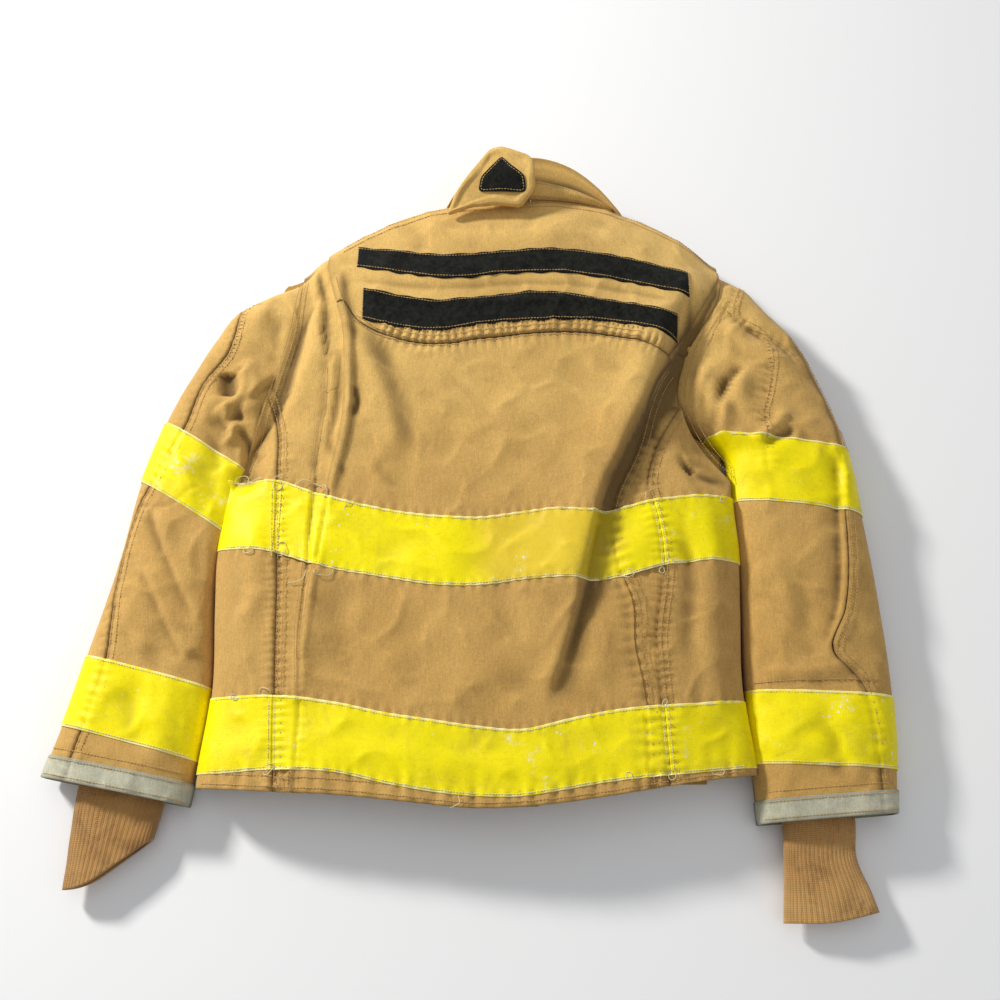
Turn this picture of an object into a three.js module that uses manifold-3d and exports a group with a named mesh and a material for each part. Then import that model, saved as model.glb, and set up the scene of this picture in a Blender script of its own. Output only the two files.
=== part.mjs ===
// Turnout coat lying face down, its back upwards: millimetres, +Z up, collar towards +Y.
// Every cloth layer is a thin closed solid bent over the same oval section: the torso and each
// sleeve have one section function, and each layer states its depth below the outer cloth.
import * as THREE from "three";
import { mergeVertices } from "three/addons/utils/BufferGeometryUtils.js";
import Module from "manifold-3d";

const wasm = await Module();
wasm.setup();

// ---- driving dimensions ----
const GAP = 0.3; // between two pieces that touch on the real coat
const SHELL = 2.4; // outer shell cloth
const BARRIER = 0.8; // moisture barrier
const QUILT = 4.2; // quilted thermal liner
const TRIM_THICK = 1.2; // reflective trim
const TRIM_WIDTH = 75; // 3 in trim

const TORSO_CENTRE_X = -22;
const TORSO_HALF_WIDTH = 272;
const FRONT_STACK = 9; // pockets and storm flap lie under the front cloth
const SIDE_RISE = 22; // from the front cloth to the widest line
const CROWN_RISE = 38; // from the widest line to the top of the back
const CENTRE_HEM_Y = -331;
const HEM_RISE = 22; // the hem's ends lie nearer the collar than its middle
const NECK_Y = 358;
const NECK_X = 40;
const NECK_HALF = 100;
const SHOULDER_SLOPE_LEFT = 0.5;
const SHOULDER_SLOPE_RIGHT = 0.62;
const SHOULDER_DEPTH = 14; // how far the shoulder roll stands past the shoulder line
const SHOULDER_FALL_LENGTH = 90;
const SHOULDER_FALL = 0.45;

const TORSO_LEFT_X = TORSO_CENTRE_X - TORSO_HALF_WIDTH;
const TORSO_RIGHT_X = TORSO_CENTRE_X + TORSO_HALF_WIDTH;
const LEFT_SIDE_SEAM_X = TORSO_LEFT_X + 62;
const LEFT_PLEAT_X = LEFT_SIDE_SEAM_X + 40;
const RIGHT_SIDE_SEAM_X = TORSO_RIGHT_X - 84;
const RIGHT_PLEAT_X = RIGHT_SIDE_SEAM_X - 42;
const YOKE_SEAM_Y = NECK_Y - 178;
const YOKE_RIGHT_X = TORSO_RIGHT_X - 10;
const SHOULDER_LEFT_X = TORSO_LEFT_X + 32; // outer ends of the two shoulder rolls
const SHOULDER_RIGHT_X = TORSO_RIGHT_X - 2;
const ARM_LEFT_Y = NECK_Y - 228; // level of each sleeve's swing axis
const ARM_RIGHT_Y = NECK_Y - 230;
const GUSSET_LOW_Y = ARM_LEFT_Y - 108;
const GUSSET_HIGH_Y = ARM_LEFT_Y;
const FRONT_EDGE_GAP = 21; // between the two front edges, where the zip runs
const FACING_THICK = 1.5;

const CHEST_TRIM_Y = -27;
const CHEST_TRIM_RISE_LEFT = 42;
const CHEST_TRIM_RISE_RIGHT = 26;
const HEM_TRIM_Y = CENTRE_HEM_Y + 85;
const HEM_TRIM_RISE = 30;

const STRIP_WIDTH = 32;
const STRIP_THICK = 1.8;
const STRIP_LEFT_X = LEFT_PLEAT_X + 32;
const STRIP_RIGHT_X = YOKE_RIGHT_X - 35;
const UPPER_STRIP_Y = NECK_Y - 101; // lower edges of the two strips
const LOWER_STRIP_Y = NECK_Y - 158;
const STRIP_DROOP = 9; // how far the strips' right ends hang below their middles

const COLLAR_HEIGHT = 40;
const COLLAR_THICK = 4;
const COLLAR_HALF_X = 98;
const COLLAR_HALF_Z = 18.3;
const COLLAR_CENTRE_Z = 34;
const COLLAR_CLIMB = 34;
const TAB_THICK = 4;
const PATCH_THICK = 1.6;

const TORSO_FACETS = 28;
const TORSO_ROWS = 15;
const SLEEVE_FACETS = 20;
const SLEEVE_ROWS = 12;

const ARM_GAP = 0.8; // between the armhole's edge and the sleeve head
const FLAP_THICK = 3;
const STORM_FLAP_WIDTH = 76;
const STORM_FLAP_LOW_Y = CENTRE_HEM_Y + 12;
const STORM_FLAP_HIGH_Y = NECK_Y - 87;
const ZIP_TOP_Y = NECK_Y - 96;
const ZIP_LOW_Y = CENTRE_HEM_Y + 33;
const POCKET_WIDTH = TORSO_HALF_WIDTH - 122;
const POCKET_LENGTH = 180;
const POCKET_FLAP_LENGTH = 68;
const POCKET_WALL = 1.5;

// ---- solids ----
function solidOf(geometry) {
  const bare = geometry.clone();
  bare.deleteAttribute("normal");
  bare.deleteAttribute("uv");
  const merged = mergeVertices(bare, 1e-3);
  const triVerts = new Uint32Array(merged.index.array);
  const build = () =>
    new wasm.Manifold(
      new wasm.Mesh({ numProp: 3, vertProperties: merged.attributes.position.array, triVerts }),
    );
  const made = build();
  if (made.volume() >= 0) return made;
  for (let i = 0; i < triVerts.length; i += 3) {
    [triVerts[i + 1], triVerts[i + 2]] = [triVerts[i + 2], triVerts[i + 1]];
  }
  return build();
}

// The largest body of a solid: cuts along a curved edge can leave a crumb beside it.
function mainBody(solid) {
  const bodies = solid.decompose();
  return bodies.reduce((best, body) => (body.volume() > best.volume() ? body : best));
}

function geometryOf(solid) {
  const mesh = mainBody(solid).getMesh();
  const geometry = new THREE.BufferGeometry();
  geometry.setAttribute("position", new THREE.BufferAttribute(mesh.vertProperties, 3));
  geometry.setIndex(new THREE.BufferAttribute(mesh.triVerts, 1));
  geometry.computeVertexNormals();
  return geometry;
}

// A box whose three unit coordinates are bent by map(a, b, c), each from 0 to 1.
function bentBox(map, na, nb, nc = 1) {
  const geometry = new THREE.BoxGeometry(1, 1, 1, na, nb, nc);
  const place = geometry.attributes.position;
  for (let i = 0; i < place.count; i += 1) {
    const p = map(place.getX(i) + 0.5, place.getY(i) + 0.5, place.getZ(i) + 0.5);
    place.setXYZ(i, p[0], p[1], p[2]);
  }
  return solidOf(geometry);
}

// A closed tube: angle runs round it from 0 to 2 pi, b along it, r from the middle to the skin.
function bentCore(map, around, along) {
  const geometry = new THREE.CylinderGeometry(1, 1, 1, around, along);
  const place = geometry.attributes.position;
  for (let i = 0; i < place.count; i += 1) {
    const x = place.getX(i);
    const z = place.getZ(i);
    const r = Math.min(1, Math.hypot(x, z));
    const p = map(Math.atan2(x, z), place.getY(i) + 0.5, r < 0.5 ? 0 : 1);
    place.setXYZ(i, p[0], p[1], p[2]);
  }
  return solidOf(geometry);
}

function plate(x0, x1, y0, y1, z0, z1) {
  const geometry = new THREE.BoxGeometry(x1 - x0, y1 - y0, z1 - z0);
  geometry.translate((x0 + x1) / 2, (y0 + y1) / 2, (z0 + z1) / 2);
  return solidOf(geometry);
}

function column(x, y, radius, height = 400) {
  const geometry = new THREE.CylinderGeometry(radius, radius, height, 60);
  geometry.rotateX(Math.PI / 2);
  geometry.translate(x, y, 0);
  return solidOf(geometry);
}

const mix = (a, b, k) => a + (b - a) * k;
const unit = (k) => Math.min(1, Math.max(0, k));

// ---- torso section ----
const topY = (x) => {
  const slope = x < NECK_X ? SHOULDER_SLOPE_LEFT : SHOULDER_SLOPE_RIGHT;
  return NECK_Y - slope * Math.max(0, Math.abs(x - NECK_X) - NECK_HALF);
};
const hemY = (x) => CENTRE_HEM_Y + HEM_RISE * ((x - TORSO_CENTRE_X) / TORSO_HALF_WIDTH) ** 2;
const chestY = (x) => {
  const rise = x < 10 ? CHEST_TRIM_RISE_LEFT : CHEST_TRIM_RISE_RIGHT;
  return CHEST_TRIM_Y + rise * ((x - 10) / 240) ** 2;
};
const hemTrimY = (x) => HEM_TRIM_Y + HEM_TRIM_RISE * ((x + 10) / 260) ** 2;
const flatY = (y) => () => y;
const below = (curve, drop) => (x) => curve(x) - drop;

const MIDDLE_Z = FRONT_STACK + SIDE_RISE;
function torsoHeights(x, y, share, depth) {
  const s = unit((y - topY(x) + SHOULDER_FALL_LENGTH) / SHOULDER_FALL_LENGTH) ** 2;
  const rise = CROWN_RISE * (1 - SHOULDER_FALL * s) - depth;
  const fall = SIDE_RISE * (1 - 0.3 * s) - depth;
  const top = MIDDLE_Z + rise * (1 - share ** 3) ** (1 / 3);
  const bottom = MIDDLE_Z - fall * (1 - share ** 8) ** (1 / 8);
  return [top, bottom];
}

// The whole torso's outside at one depth below the outer cloth, past the hem and the shoulders.
const TORSO_LOW_Y = -345;
const TORSO_HIGH_Y = 372;
const cores = new Map();
function torsoCore(depth) {
  const key = depth.toFixed(3);
  if (cores.has(key)) return cores.get(key);
  const map = (angle, b, r) => {
    const sine = Math.sin(angle) * r;
    const share = Math.min(1, Math.abs(Math.sin(angle)));
    const x = TORSO_CENTRE_X + (TORSO_HALF_WIDTH - depth) * sine;
    const y = mix(TORSO_LOW_Y, TORSO_HIGH_Y, 1 - (1 - b) ** 1.6);
    const [top, bottom] = torsoHeights(x, y, share, depth);
    if (r === 0) return [TORSO_CENTRE_X, y, MIDDLE_Z];
    return [x, y, Math.cos(angle) >= 0 ? top : bottom];
  };
  const core = bentCore(map, TORSO_FACETS, TORSO_ROWS);
  cores.set(key, core);
  return core;
}
const layer = (depth, thick) => torsoCore(depth).subtract(torsoCore(depth + thick));

// An upright block between x0 and x1, and between two curves across the coat.
function block(x0, x1, yLow, yHigh, z0, z1, steps = 8) {
  const map = (a, b, c) => {
    const x = mix(x0, x1, a);
    return [x, mix(yLow(x), yHigh(x), b), mix(z0, z1, c)];
  };
  return bentBox(map, steps, 1);
}
const OVER = 200;
const backBlock = (x0, x1, yLow, yHigh) => block(x0, x1, yLow, yHigh, MIDDLE_Z, OVER);
const frontBlock = (x0, x1, yLow, yHigh) => block(x0, x1, yLow, yHigh, -OVER, MIDDLE_Z);

// The armholes are arcs about the sleeves' own swing axes.
const SLEEVES = {
  left: {
    side: -1,
    pivot: [TORSO_LEFT_X - 18, ARM_LEFT_Y],
    along: [-0.19, -0.982],
    radius: 108,
    length: 440,
    outer: [[-100, 8], [-19, 32], [46, 49], [120, 56], [207, 55], [319, 58], [440, 66]],
    inner: [[-100, -70], [-50, -118], [0, -127], [50, -110], [97, -31], [187, -48], [323, -74], [440, -80]],
    upperTrim: [68, TRIM_WIDTH, -0.4],
    lowerTrim: [319, TRIM_WIDTH, -0.06],
    wrist: { start: 400, end: 545, q0: [-58, 30], q1: [-38, 16], slant: -26 },
  },
  right: {
    side: 1,
    pivot: [TORSO_RIGHT_X + 50, ARM_RIGHT_Y],
    along: [0.078, -0.997],
    radius: 104,
    length: 459,
    outer: [[-100, 14], [-43, 45], [52, 73], [153, 78], [242, 79], [349, 76], [459, 60]],
    inner: [[-100, -50], [-50, -114], [0, -126], [45, -114], [88, -51], [187, -57], [326, -69], [459, -74]],
    upperTrim: [61, TRIM_WIDTH, 0.2],
    lowerTrim: [337, TRIM_WIDTH, 0.12],
    wrist: { start: 418, end: 560, q0: [-52, 22], q1: [-62, 28], slant: 6 },
  },
};
const SLEEVE_MIDDLE = 23;
const SLEEVE_CROWN = 27;
const SLEEVE_LIFT = TRIM_THICK + GAP; // the sleeve lies on its trims
const SLEEVE_HEAD = -96;
const SIDE_CLEAR = 4; // between the torso's side and the sleeve
const CUFF_LINER_STEP = 18;
const CUFF_TRIM_WIDTH = 21;
const WRIST_THICK = 3;
const WRIST_HALF_HEIGHT = 9;

const armholes = Object.values(SLEEVES).map((s) => column(...s.pivot, s.radius + ARM_GAP));
const openArmholes = (solid) => armholes.reduce((rest, hole) => rest.subtract(hole), solid);

const HALF_GAP = GAP / 2;
const shoulderY = below(topY, GAP);
const cloth = (region, depth = 0, thick = SHELL) => openArmholes(layer(depth, thick).intersect(region));

const group = new THREE.Group();
const look = (color, roughness = 0.9, metalness = 0) =>
  new THREE.MeshStandardMaterial({ color, roughness, metalness });
const TAN = look(0xc09a5e);
const TRIM = look(0xe8df1f, 0.7);
const LOOP = look(0x2a2c28);
const LINER = look(0xb9a77c);
const BARRIER_CLOTH = look(0xd8d4c6);
const KNIT = look(0xa8713f);
const GREY = look(0x87877a);
const TAPE = look(0x3b3a34);
const BRASS = look(0xb08d3e, 0.4, 1);

function addPiece(name, solid, material) {
  const mesh = new THREE.Mesh(geometryOf(solid), material);
  mesh.name = name;
  group.add(mesh);
}

// ---- back ----
const leftPleat = LEFT_PLEAT_X + HALF_GAP;
const rightPleat = RIGHT_PLEAT_X - HALF_GAP;
const belowYoke = flatY(YOKE_SEAM_Y - GAP);
addPiece("back_panel", cloth(backBlock(leftPleat, rightPleat, hemY, belowYoke)), TAN);
addPiece("back_yoke", cloth(backBlock(leftPleat, YOKE_RIGHT_X, flatY(YOKE_SEAM_Y), shoulderY)), TAN);
addPiece(
  "left_side_panel",
  cloth(backBlock(LEFT_SIDE_SEAM_X + HALF_GAP, LEFT_PLEAT_X - HALF_GAP, hemY, shoulderY)),
  TAN,
);
addPiece(
  "right_side_panel",
  cloth(backBlock(RIGHT_PLEAT_X + HALF_GAP, RIGHT_SIDE_SEAM_X - HALF_GAP, hemY, belowYoke)),
  TAN,
);

// ---- fronts: each runs from the zip round the side to its side seam, with a gusset underarm ----
const LEFT_EDGE_X = TORSO_CENTRE_X - FRONT_EDGE_GAP / 2;
const RIGHT_EDGE_X = TORSO_CENTRE_X + FRONT_EDGE_GAP / 2;
const FAR_LEFT = TORSO_LEFT_X - 20;
const FAR_RIGHT = TORSO_RIGHT_X + 20;
const leftSeam = LEFT_SIDE_SEAM_X - HALF_GAP;
const rightSeam = RIGHT_SIDE_SEAM_X + HALF_GAP;
const underGusset = flatY(GUSSET_LOW_Y - GAP);
const leftFront = frontBlock(FAR_LEFT, LEFT_EDGE_X, hemY, shoulderY).add(
  block(FAR_LEFT, leftSeam, hemY, underGusset, 0, OVER),
);
const rightFront = frontBlock(RIGHT_EDGE_X, FAR_RIGHT, hemY, shoulderY).add(
  block(rightSeam, FAR_RIGHT, hemY, underGusset, 0, OVER),
);
addPiece("left_front_panel", cloth(leftFront), TAN);
addPiece("right_front_panel", cloth(rightFront), TAN);
const gussetBlock = (x0, x1, high) =>
  block(x0, x1, flatY(GUSSET_LOW_Y), flatY(high), MIDDLE_Z + GAP, OVER);
addPiece("left_gusset", cloth(gussetBlock(FAR_LEFT, leftSeam, GUSSET_HIGH_Y)), TAN);
addPiece("right_gusset", cloth(gussetBlock(rightSeam, FAR_RIGHT, YOKE_SEAM_Y - GAP)), TAN);

// ---- shoulder rolls close the coat between back and front along each shoulder ----
function shoulderRoll(xIn, xOut) {
  const map = (a, b, c) => {
    const x = mix(xIn, xOut, a);
    const share = Math.min(1, Math.abs(x - TORSO_CENTRE_X) / TORSO_HALF_WIDTH);
    const [top, bottom] = torsoHeights(x, topY(x), share, 0);
    const angle = Math.PI * (0.5 - b);
    const reach = 1 - (SHELL * c) / SHOULDER_DEPTH;
    const half = (top - bottom) / 2 - SHELL * c;
    const y = topY(x) + SHOULDER_DEPTH * reach * Math.cos(angle);
    return [x, y, (top + bottom) / 2 + half * Math.sin(angle)];
  };
  return openArmholes(bentBox(map, 5, 8));
}
const NECK_CLEAR = 12;
addPiece("left_shoulder_panel", shoulderRoll(SHOULDER_LEFT_X, NECK_X - NECK_HALF - NECK_CLEAR), TAN);
addPiece("right_shoulder_panel", shoulderRoll(NECK_X + NECK_HALF + NECK_CLEAR, SHOULDER_RIGHT_X), TAN);

// ---- liner: moisture barrier and quilted thermal liner, open down the front ----
const LINER_HEM = 25;
const LINER_TOP = 16;
const BARRIER_DEPTH = SHELL + GAP;
const QUILT_DEPTH = BARRIER_DEPTH + BARRIER + GAP;
const openFront = block(LEFT_EDGE_X - 16, RIGHT_EDGE_X + 16, flatY(-OVER * 2), flatY(OVER * 2), -1, MIDDLE_Z - 5, 1);
const wholeBlock = (yLow, yHigh) => block(FAR_LEFT, FAR_RIGHT, yLow, yHigh, -OVER, OVER).subtract(openFront);
const linerBlock = wholeBlock((x) => hemY(x) + LINER_HEM, below(topY, LINER_TOP));
addPiece("moisture_barrier", cloth(linerBlock, BARRIER_DEPTH, BARRIER), BARRIER_CLOTH);
addPiece("thermal_liner", cloth(linerBlock, QUILT_DEPTH, QUILT), LINER);
const facingBlock = wholeBlock((x) => hemY(x) + 1, (x) => hemY(x) + LINER_HEM - 2);
addPiece("hem_facing", cloth(facingBlock, BARRIER_DEPTH, FACING_THICK), TAN);

// ---- trims and loop strips lie on the cloth ----
const onCloth = (region, thick) => cloth(region, -(thick + GAP), thick);
const bandBlock = (x0, x1, curve, z0, z1) => block(x0, x1, below(curve, TRIM_WIDTH), curve, z0, z1);
function addTrims(name, curve, leftEnd, rightEnd) {
  const back = bandBlock(LEFT_SIDE_SEAM_X + HALF_GAP, RIGHT_SIDE_SEAM_X - HALF_GAP, curve, MIDDLE_Z, OVER);
  const left = bandBlock(FAR_LEFT, leftEnd, curve, -OVER, MIDDLE_Z).add(
    bandBlock(FAR_LEFT, leftSeam, curve, MIDDLE_Z - 1, OVER),
  );
  const right = bandBlock(rightEnd, FAR_RIGHT, curve, -OVER, MIDDLE_Z).add(
    bandBlock(rightSeam, FAR_RIGHT, curve, MIDDLE_Z - 1, OVER),
  );
  addPiece(`${name}_back`, onCloth(back, TRIM_THICK), TRIM);
  addPiece(`${name}_left`, onCloth(left, TRIM_THICK), TRIM);
  addPiece(`${name}_right`, onCloth(right, TRIM_THICK), TRIM);
}
const CHEST_TRIM_INSET = 24; // from a front edge to the end of the chest trim
const HEM_TRIM_INSET = 7; // from a pocket's outer side to the end of the hem trim
const FLAP_HINGE_X = 25;
const POCKET_LEFT_X = TORSO_LEFT_X + 49;
const POCKET_RIGHT_X = FLAP_HINGE_X + 37;
addTrims("chest_trim", chestY, LEFT_EDGE_X - CHEST_TRIM_INSET + 0.5, RIGHT_EDGE_X + 2 * CHEST_TRIM_INSET + 9.5);
addTrims("hem_trim", hemTrimY, POCKET_LEFT_X - HEM_TRIM_INSET, POCKET_RIGHT_X + POCKET_WIDTH + 4);
const stripY = (y) => (x) => y - STRIP_DROOP * Math.max(0, (x - 60) / 140) ** 2;
for (const [name, y] of [["upper_loop_strip", UPPER_STRIP_Y], ["lower_loop_strip", LOWER_STRIP_Y]]) {
  const region = backBlock(STRIP_LEFT_X, STRIP_RIGHT_X, stripY(y), stripY(y + STRIP_WIDTH));
  addPiece(name, onCloth(region, STRIP_THICK), LOOP);
}

// ---- collar: a leaning oval band in three pieces, with the throat tab folded over its left end ----
const COLLAR_BASE_Y = NECK_Y + GAP;
function collarPoint(angle, h, depth) {
  const x = NECK_X + (COLLAR_HALF_X - depth) * Math.cos(angle) - 6 * h;
  const y = COLLAR_BASE_Y + h * (COLLAR_HEIGHT - 6 * Math.sin(angle));
  const z = COLLAR_CENTRE_Z + (COLLAR_HALF_Z - depth) * Math.sin(angle) + COLLAR_CLIMB * h;
  return [x, y, z];
}
function collarPiece(from, to, steps) {
  const r = THREE.MathUtils.degToRad;
  const map = (a, b, c) => collarPoint(mix(r(from), r(to), a), b, COLLAR_THICK * c);
  return bentBox(map, steps, 2);
}
addPiece("collar_back", collarPiece(30, 150, 12), TAN);
addPiece("collar_left", collarPiece(150.3, 269.5, 10), TAN);
addPiece("collar_right", collarPiece(-89.5, 29.7, 10), TAN);

const COLLAR_TOP_Z = COLLAR_CENTRE_Z + COLLAR_HALF_Z + COLLAR_CLIMB;
const byNeck = (outline) => outline.map(([x, y]) => [NECK_X + x, NECK_Y + y]);
const TAB_OUTLINE = byNeck([[-96, -27], [-53, 49], [-6, 32], [2, 16], [-16, -18]]);
const PATCH_OUTLINE = byNeck([[-62, -9], [-43, 35], [-19, 18], [-13, 7], [-21, -6]]);
function slab(outline, z0, thick, bevel) {
  const shape = new THREE.Shape(outline.map(([x, y]) => new THREE.Vector2(x, y)));
  const geometry = new THREE.ExtrudeGeometry(shape, {
    depth: thick - 2 * bevel,
    bevelEnabled: bevel > 0,
    bevelThickness: bevel,
    bevelSize: bevel,
    bevelOffset: -bevel,
    bevelSegments: 2,
  });
  geometry.translate(0, 0, z0 + bevel);
  return solidOf(geometry);
}
const TAB_Z = COLLAR_TOP_Z + GAP;
addPiece("throat_tab", slab(TAB_OUTLINE, TAB_Z, TAB_THICK, 1), TAN);
addPiece("throat_tab_patch", slab(PATCH_OUTLINE, TAB_Z + TAB_THICK + GAP, PATCH_THICK, 0.4), LOOP);

// ---- front closure, under the coat ----
const TAPE_WIDTH = 14;
const TAPE_THICK = 1.1;
const TAPE_Z = FRONT_STACK - GAP - TAPE_THICK;
const TOOTH_Z = TAPE_Z - 1.2;
const ZIP_SLOT = 0.75; // half the space between the two rows of teeth
const TOOTH_WIDTH = 3.2;
for (const [name, side] of [["zip_tape_left", -1], ["zip_tape_right", 1]]) {
  const inner = TORSO_CENTRE_X + side * ZIP_SLOT;
  const tooth = inner + side * TOOTH_WIDTH;
  const edge = inner + side * TAPE_WIDTH;
  const piece = (outside, z) => plate(
    Math.min(inner, outside), Math.max(inner, outside), ZIP_LOW_Y, ZIP_TOP_Y, z, TAPE_Z + TAPE_THICK,
  );
  const row = piece(tooth, TOOTH_Z);
  const tape = piece(edge, TAPE_Z);
  addPiece(name, row.add(tape), TAPE);
}
const SLIDER_HALF = 7;
const SLIDER_LENGTH = 17;
const SLIDER_PLATE = 1.3;
const SLIDER_Y = ZIP_TOP_Y - 25;
const SLIDER_LOW_Z = TOOTH_Z - GAP - SLIDER_PLATE;
const SLIDER_HIGH_Z = FRONT_STACK + GAP;
function sliderPlate(z) {
  return plate(
    TORSO_CENTRE_X - SLIDER_HALF, TORSO_CENTRE_X + SLIDER_HALF,
    SLIDER_Y, SLIDER_Y + SLIDER_LENGTH, z, z + SLIDER_PLATE,
  );
}
const POST_HALF = ZIP_SLOT - GAP;
const sliderPost = plate(
  TORSO_CENTRE_X - POST_HALF, TORSO_CENTRE_X + POST_HALF,
  SLIDER_Y + 2, SLIDER_Y + SLIDER_LENGTH - 2, SLIDER_LOW_Z + 0.5, SLIDER_HIGH_Z + 0.5,
);
addPiece("zip_slider", sliderPlate(SLIDER_LOW_Z).add(sliderPost).add(sliderPlate(SLIDER_HIGH_Z)), BRASS);
const PULL_THICK = 0.9;
const PULL_OUTLINE = [[-4, 5], [4, 5], [5, -24], [3, -30], [-3, -30], [-5, -24]];
const pullPlace = PULL_OUTLINE.map(([x, y]) => [TORSO_CENTRE_X + x, SLIDER_Y + 6 + y]);
addPiece("zip_pull", slab(pullPlace, SLIDER_LOW_Z - GAP - PULL_THICK, PULL_THICK, 0), BRASS);

const flapLeft = FLAP_HINGE_X - STORM_FLAP_WIDTH;
const flapOutline = [
  [flapLeft, STORM_FLAP_LOW_Y],
  [FLAP_HINGE_X, STORM_FLAP_LOW_Y],
  [FLAP_HINGE_X, STORM_FLAP_HIGH_Y],
  [flapLeft, STORM_FLAP_HIGH_Y],
];
addPiece("storm_flap", slab(flapOutline, 0, FLAP_THICK, 0.6), TAN);
const FRONT_UNDER = FRONT_STACK - GAP;
const SEAM_WIDTH = 14; // strips by which the flaps are sewn to the front
addPiece(
  "storm_flap_seam",
  plate(FLAP_HINGE_X + GAP, FLAP_HINGE_X + SEAM_WIDTH, STORM_FLAP_LOW_Y, STORM_FLAP_HIGH_Y, FLAP_THICK + GAP, FRONT_UNDER),
  TAN,
);
const HOOK_WIDTH = 13;
const HOOK_INSET = 12;
const HOOK_THICK = 2;
const HOOK_TOP = FLAP_THICK + GAP + HOOK_THICK;
addPiece(
  "storm_flap_hook_strip",
  plate(flapLeft + 1, flapLeft + 1 + HOOK_WIDTH, STORM_FLAP_LOW_Y + HOOK_INSET, STORM_FLAP_HIGH_Y - HOOK_INSET, FLAP_THICK + GAP, HOOK_TOP),
  LOOP,
);
addPiece(
  "front_loop_strip",
  plate(flapLeft + 1, flapLeft + 1 + HOOK_WIDTH, STORM_FLAP_LOW_Y + HOOK_INSET, STORM_FLAP_HIGH_Y - HOOK_INSET, HOOK_TOP + GAP, FRONT_UNDER),
  LOOP,
);

// ---- pockets with their flaps and trim, under the coat ----
const POCKET_LOW_Y = CENTRE_HEM_Y + 34;
for (const [side, x0] of [["left", POCKET_LEFT_X], ["right", POCKET_RIGHT_X]]) {
  const x1 = x0 + POCKET_WIDTH;
  const top = POCKET_LOW_Y + POCKET_LENGTH;
  const pouch = plate(x0, x1, POCKET_LOW_Y, top, FLAP_THICK + GAP, FRONT_UNDER);
  const inside = plate(
    x0 + POCKET_WALL, x1 - POCKET_WALL, POCKET_LOW_Y + POCKET_WALL, top + 5,
    FLAP_THICK + GAP + POCKET_WALL, FRONT_UNDER - POCKET_WALL,
  );
  addPiece(`${side}_pocket`, pouch.subtract(inside), TAN);
  const face = FLAP_THICK;
  addPiece(
    `${side}_pocket_trim`,
    plate(x0 + 1, x1 - 1, POCKET_LOW_Y + 2, POCKET_LOW_Y + 2 + TRIM_WIDTH, face - TRIM_THICK, face),
    TRIM,
  );
  const low = top - POCKET_FLAP_LENGTH + 10;
  addPiece(
    `${side}_pocket_flap`,
    slab([[x0 - 3, low], [x1 + 3, low], [x1 + 3, top + 10], [x0 - 3, top + 10]], 0, FLAP_THICK, 0.6),
    TAN,
  );
  addPiece(
    `${side}_pocket_flap_seam`,
    plate(x0 - 3, x1 + 3, top + GAP, top + 10, FLAP_THICK + GAP, FRONT_UNDER),
    TAN,
  );
}

// ---- sleeves ----
function station(table, l) {
  const next = table.findIndex(([at]) => l <= at);
  if (next === 0) return table[0][1];
  if (next < 0) return table[table.length - 1][1];
  const [l0, q0] = table[next - 1];
  const [l1, q1] = table[next];
  return mix(q0, q1, (l - l0) / (l1 - l0));
}

// l runs from the swing axis towards the cuff, q out from the torso.
function onSleeve(s, l, q, z) {
  const [ax, ay] = s.along;
  return [s.pivot[0] + ax * l - ay * s.side * q, s.pivot[1] + ay * l + ax * s.side * q, z];
}
function sleeveCore(s, depth) {
  const map = (angle, b, r) => {
    const sine = Math.sin(angle) * r;
    const share = Math.min(1, Math.abs(Math.sin(angle)));
    const l = mix(SLEEVE_HEAD, s.length + 20, b);
    const inner = station(s.inner, l);
    const outer = station(s.outer, l);
    const q = (inner + outer) / 2 + ((outer - inner) / 2 - depth) * sine * s.side;
    const top = SLEEVE_MIDDLE + (SLEEVE_CROWN - depth) * (1 - share ** 3) ** (1 / 3);
    const bottom = SLEEVE_MIDDLE - (SLEEVE_MIDDLE - SLEEVE_LIFT - depth) * (1 - share ** 6) ** (1 / 6);
    if (r === 0) return onSleeve(s, l, q, SLEEVE_MIDDLE);
    return onSleeve(s, l, q, Math.cos(angle) >= 0 ? top : bottom);
  };
  return bentCore(map, SLEEVE_FACETS, SLEEVE_ROWS);
}
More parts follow.
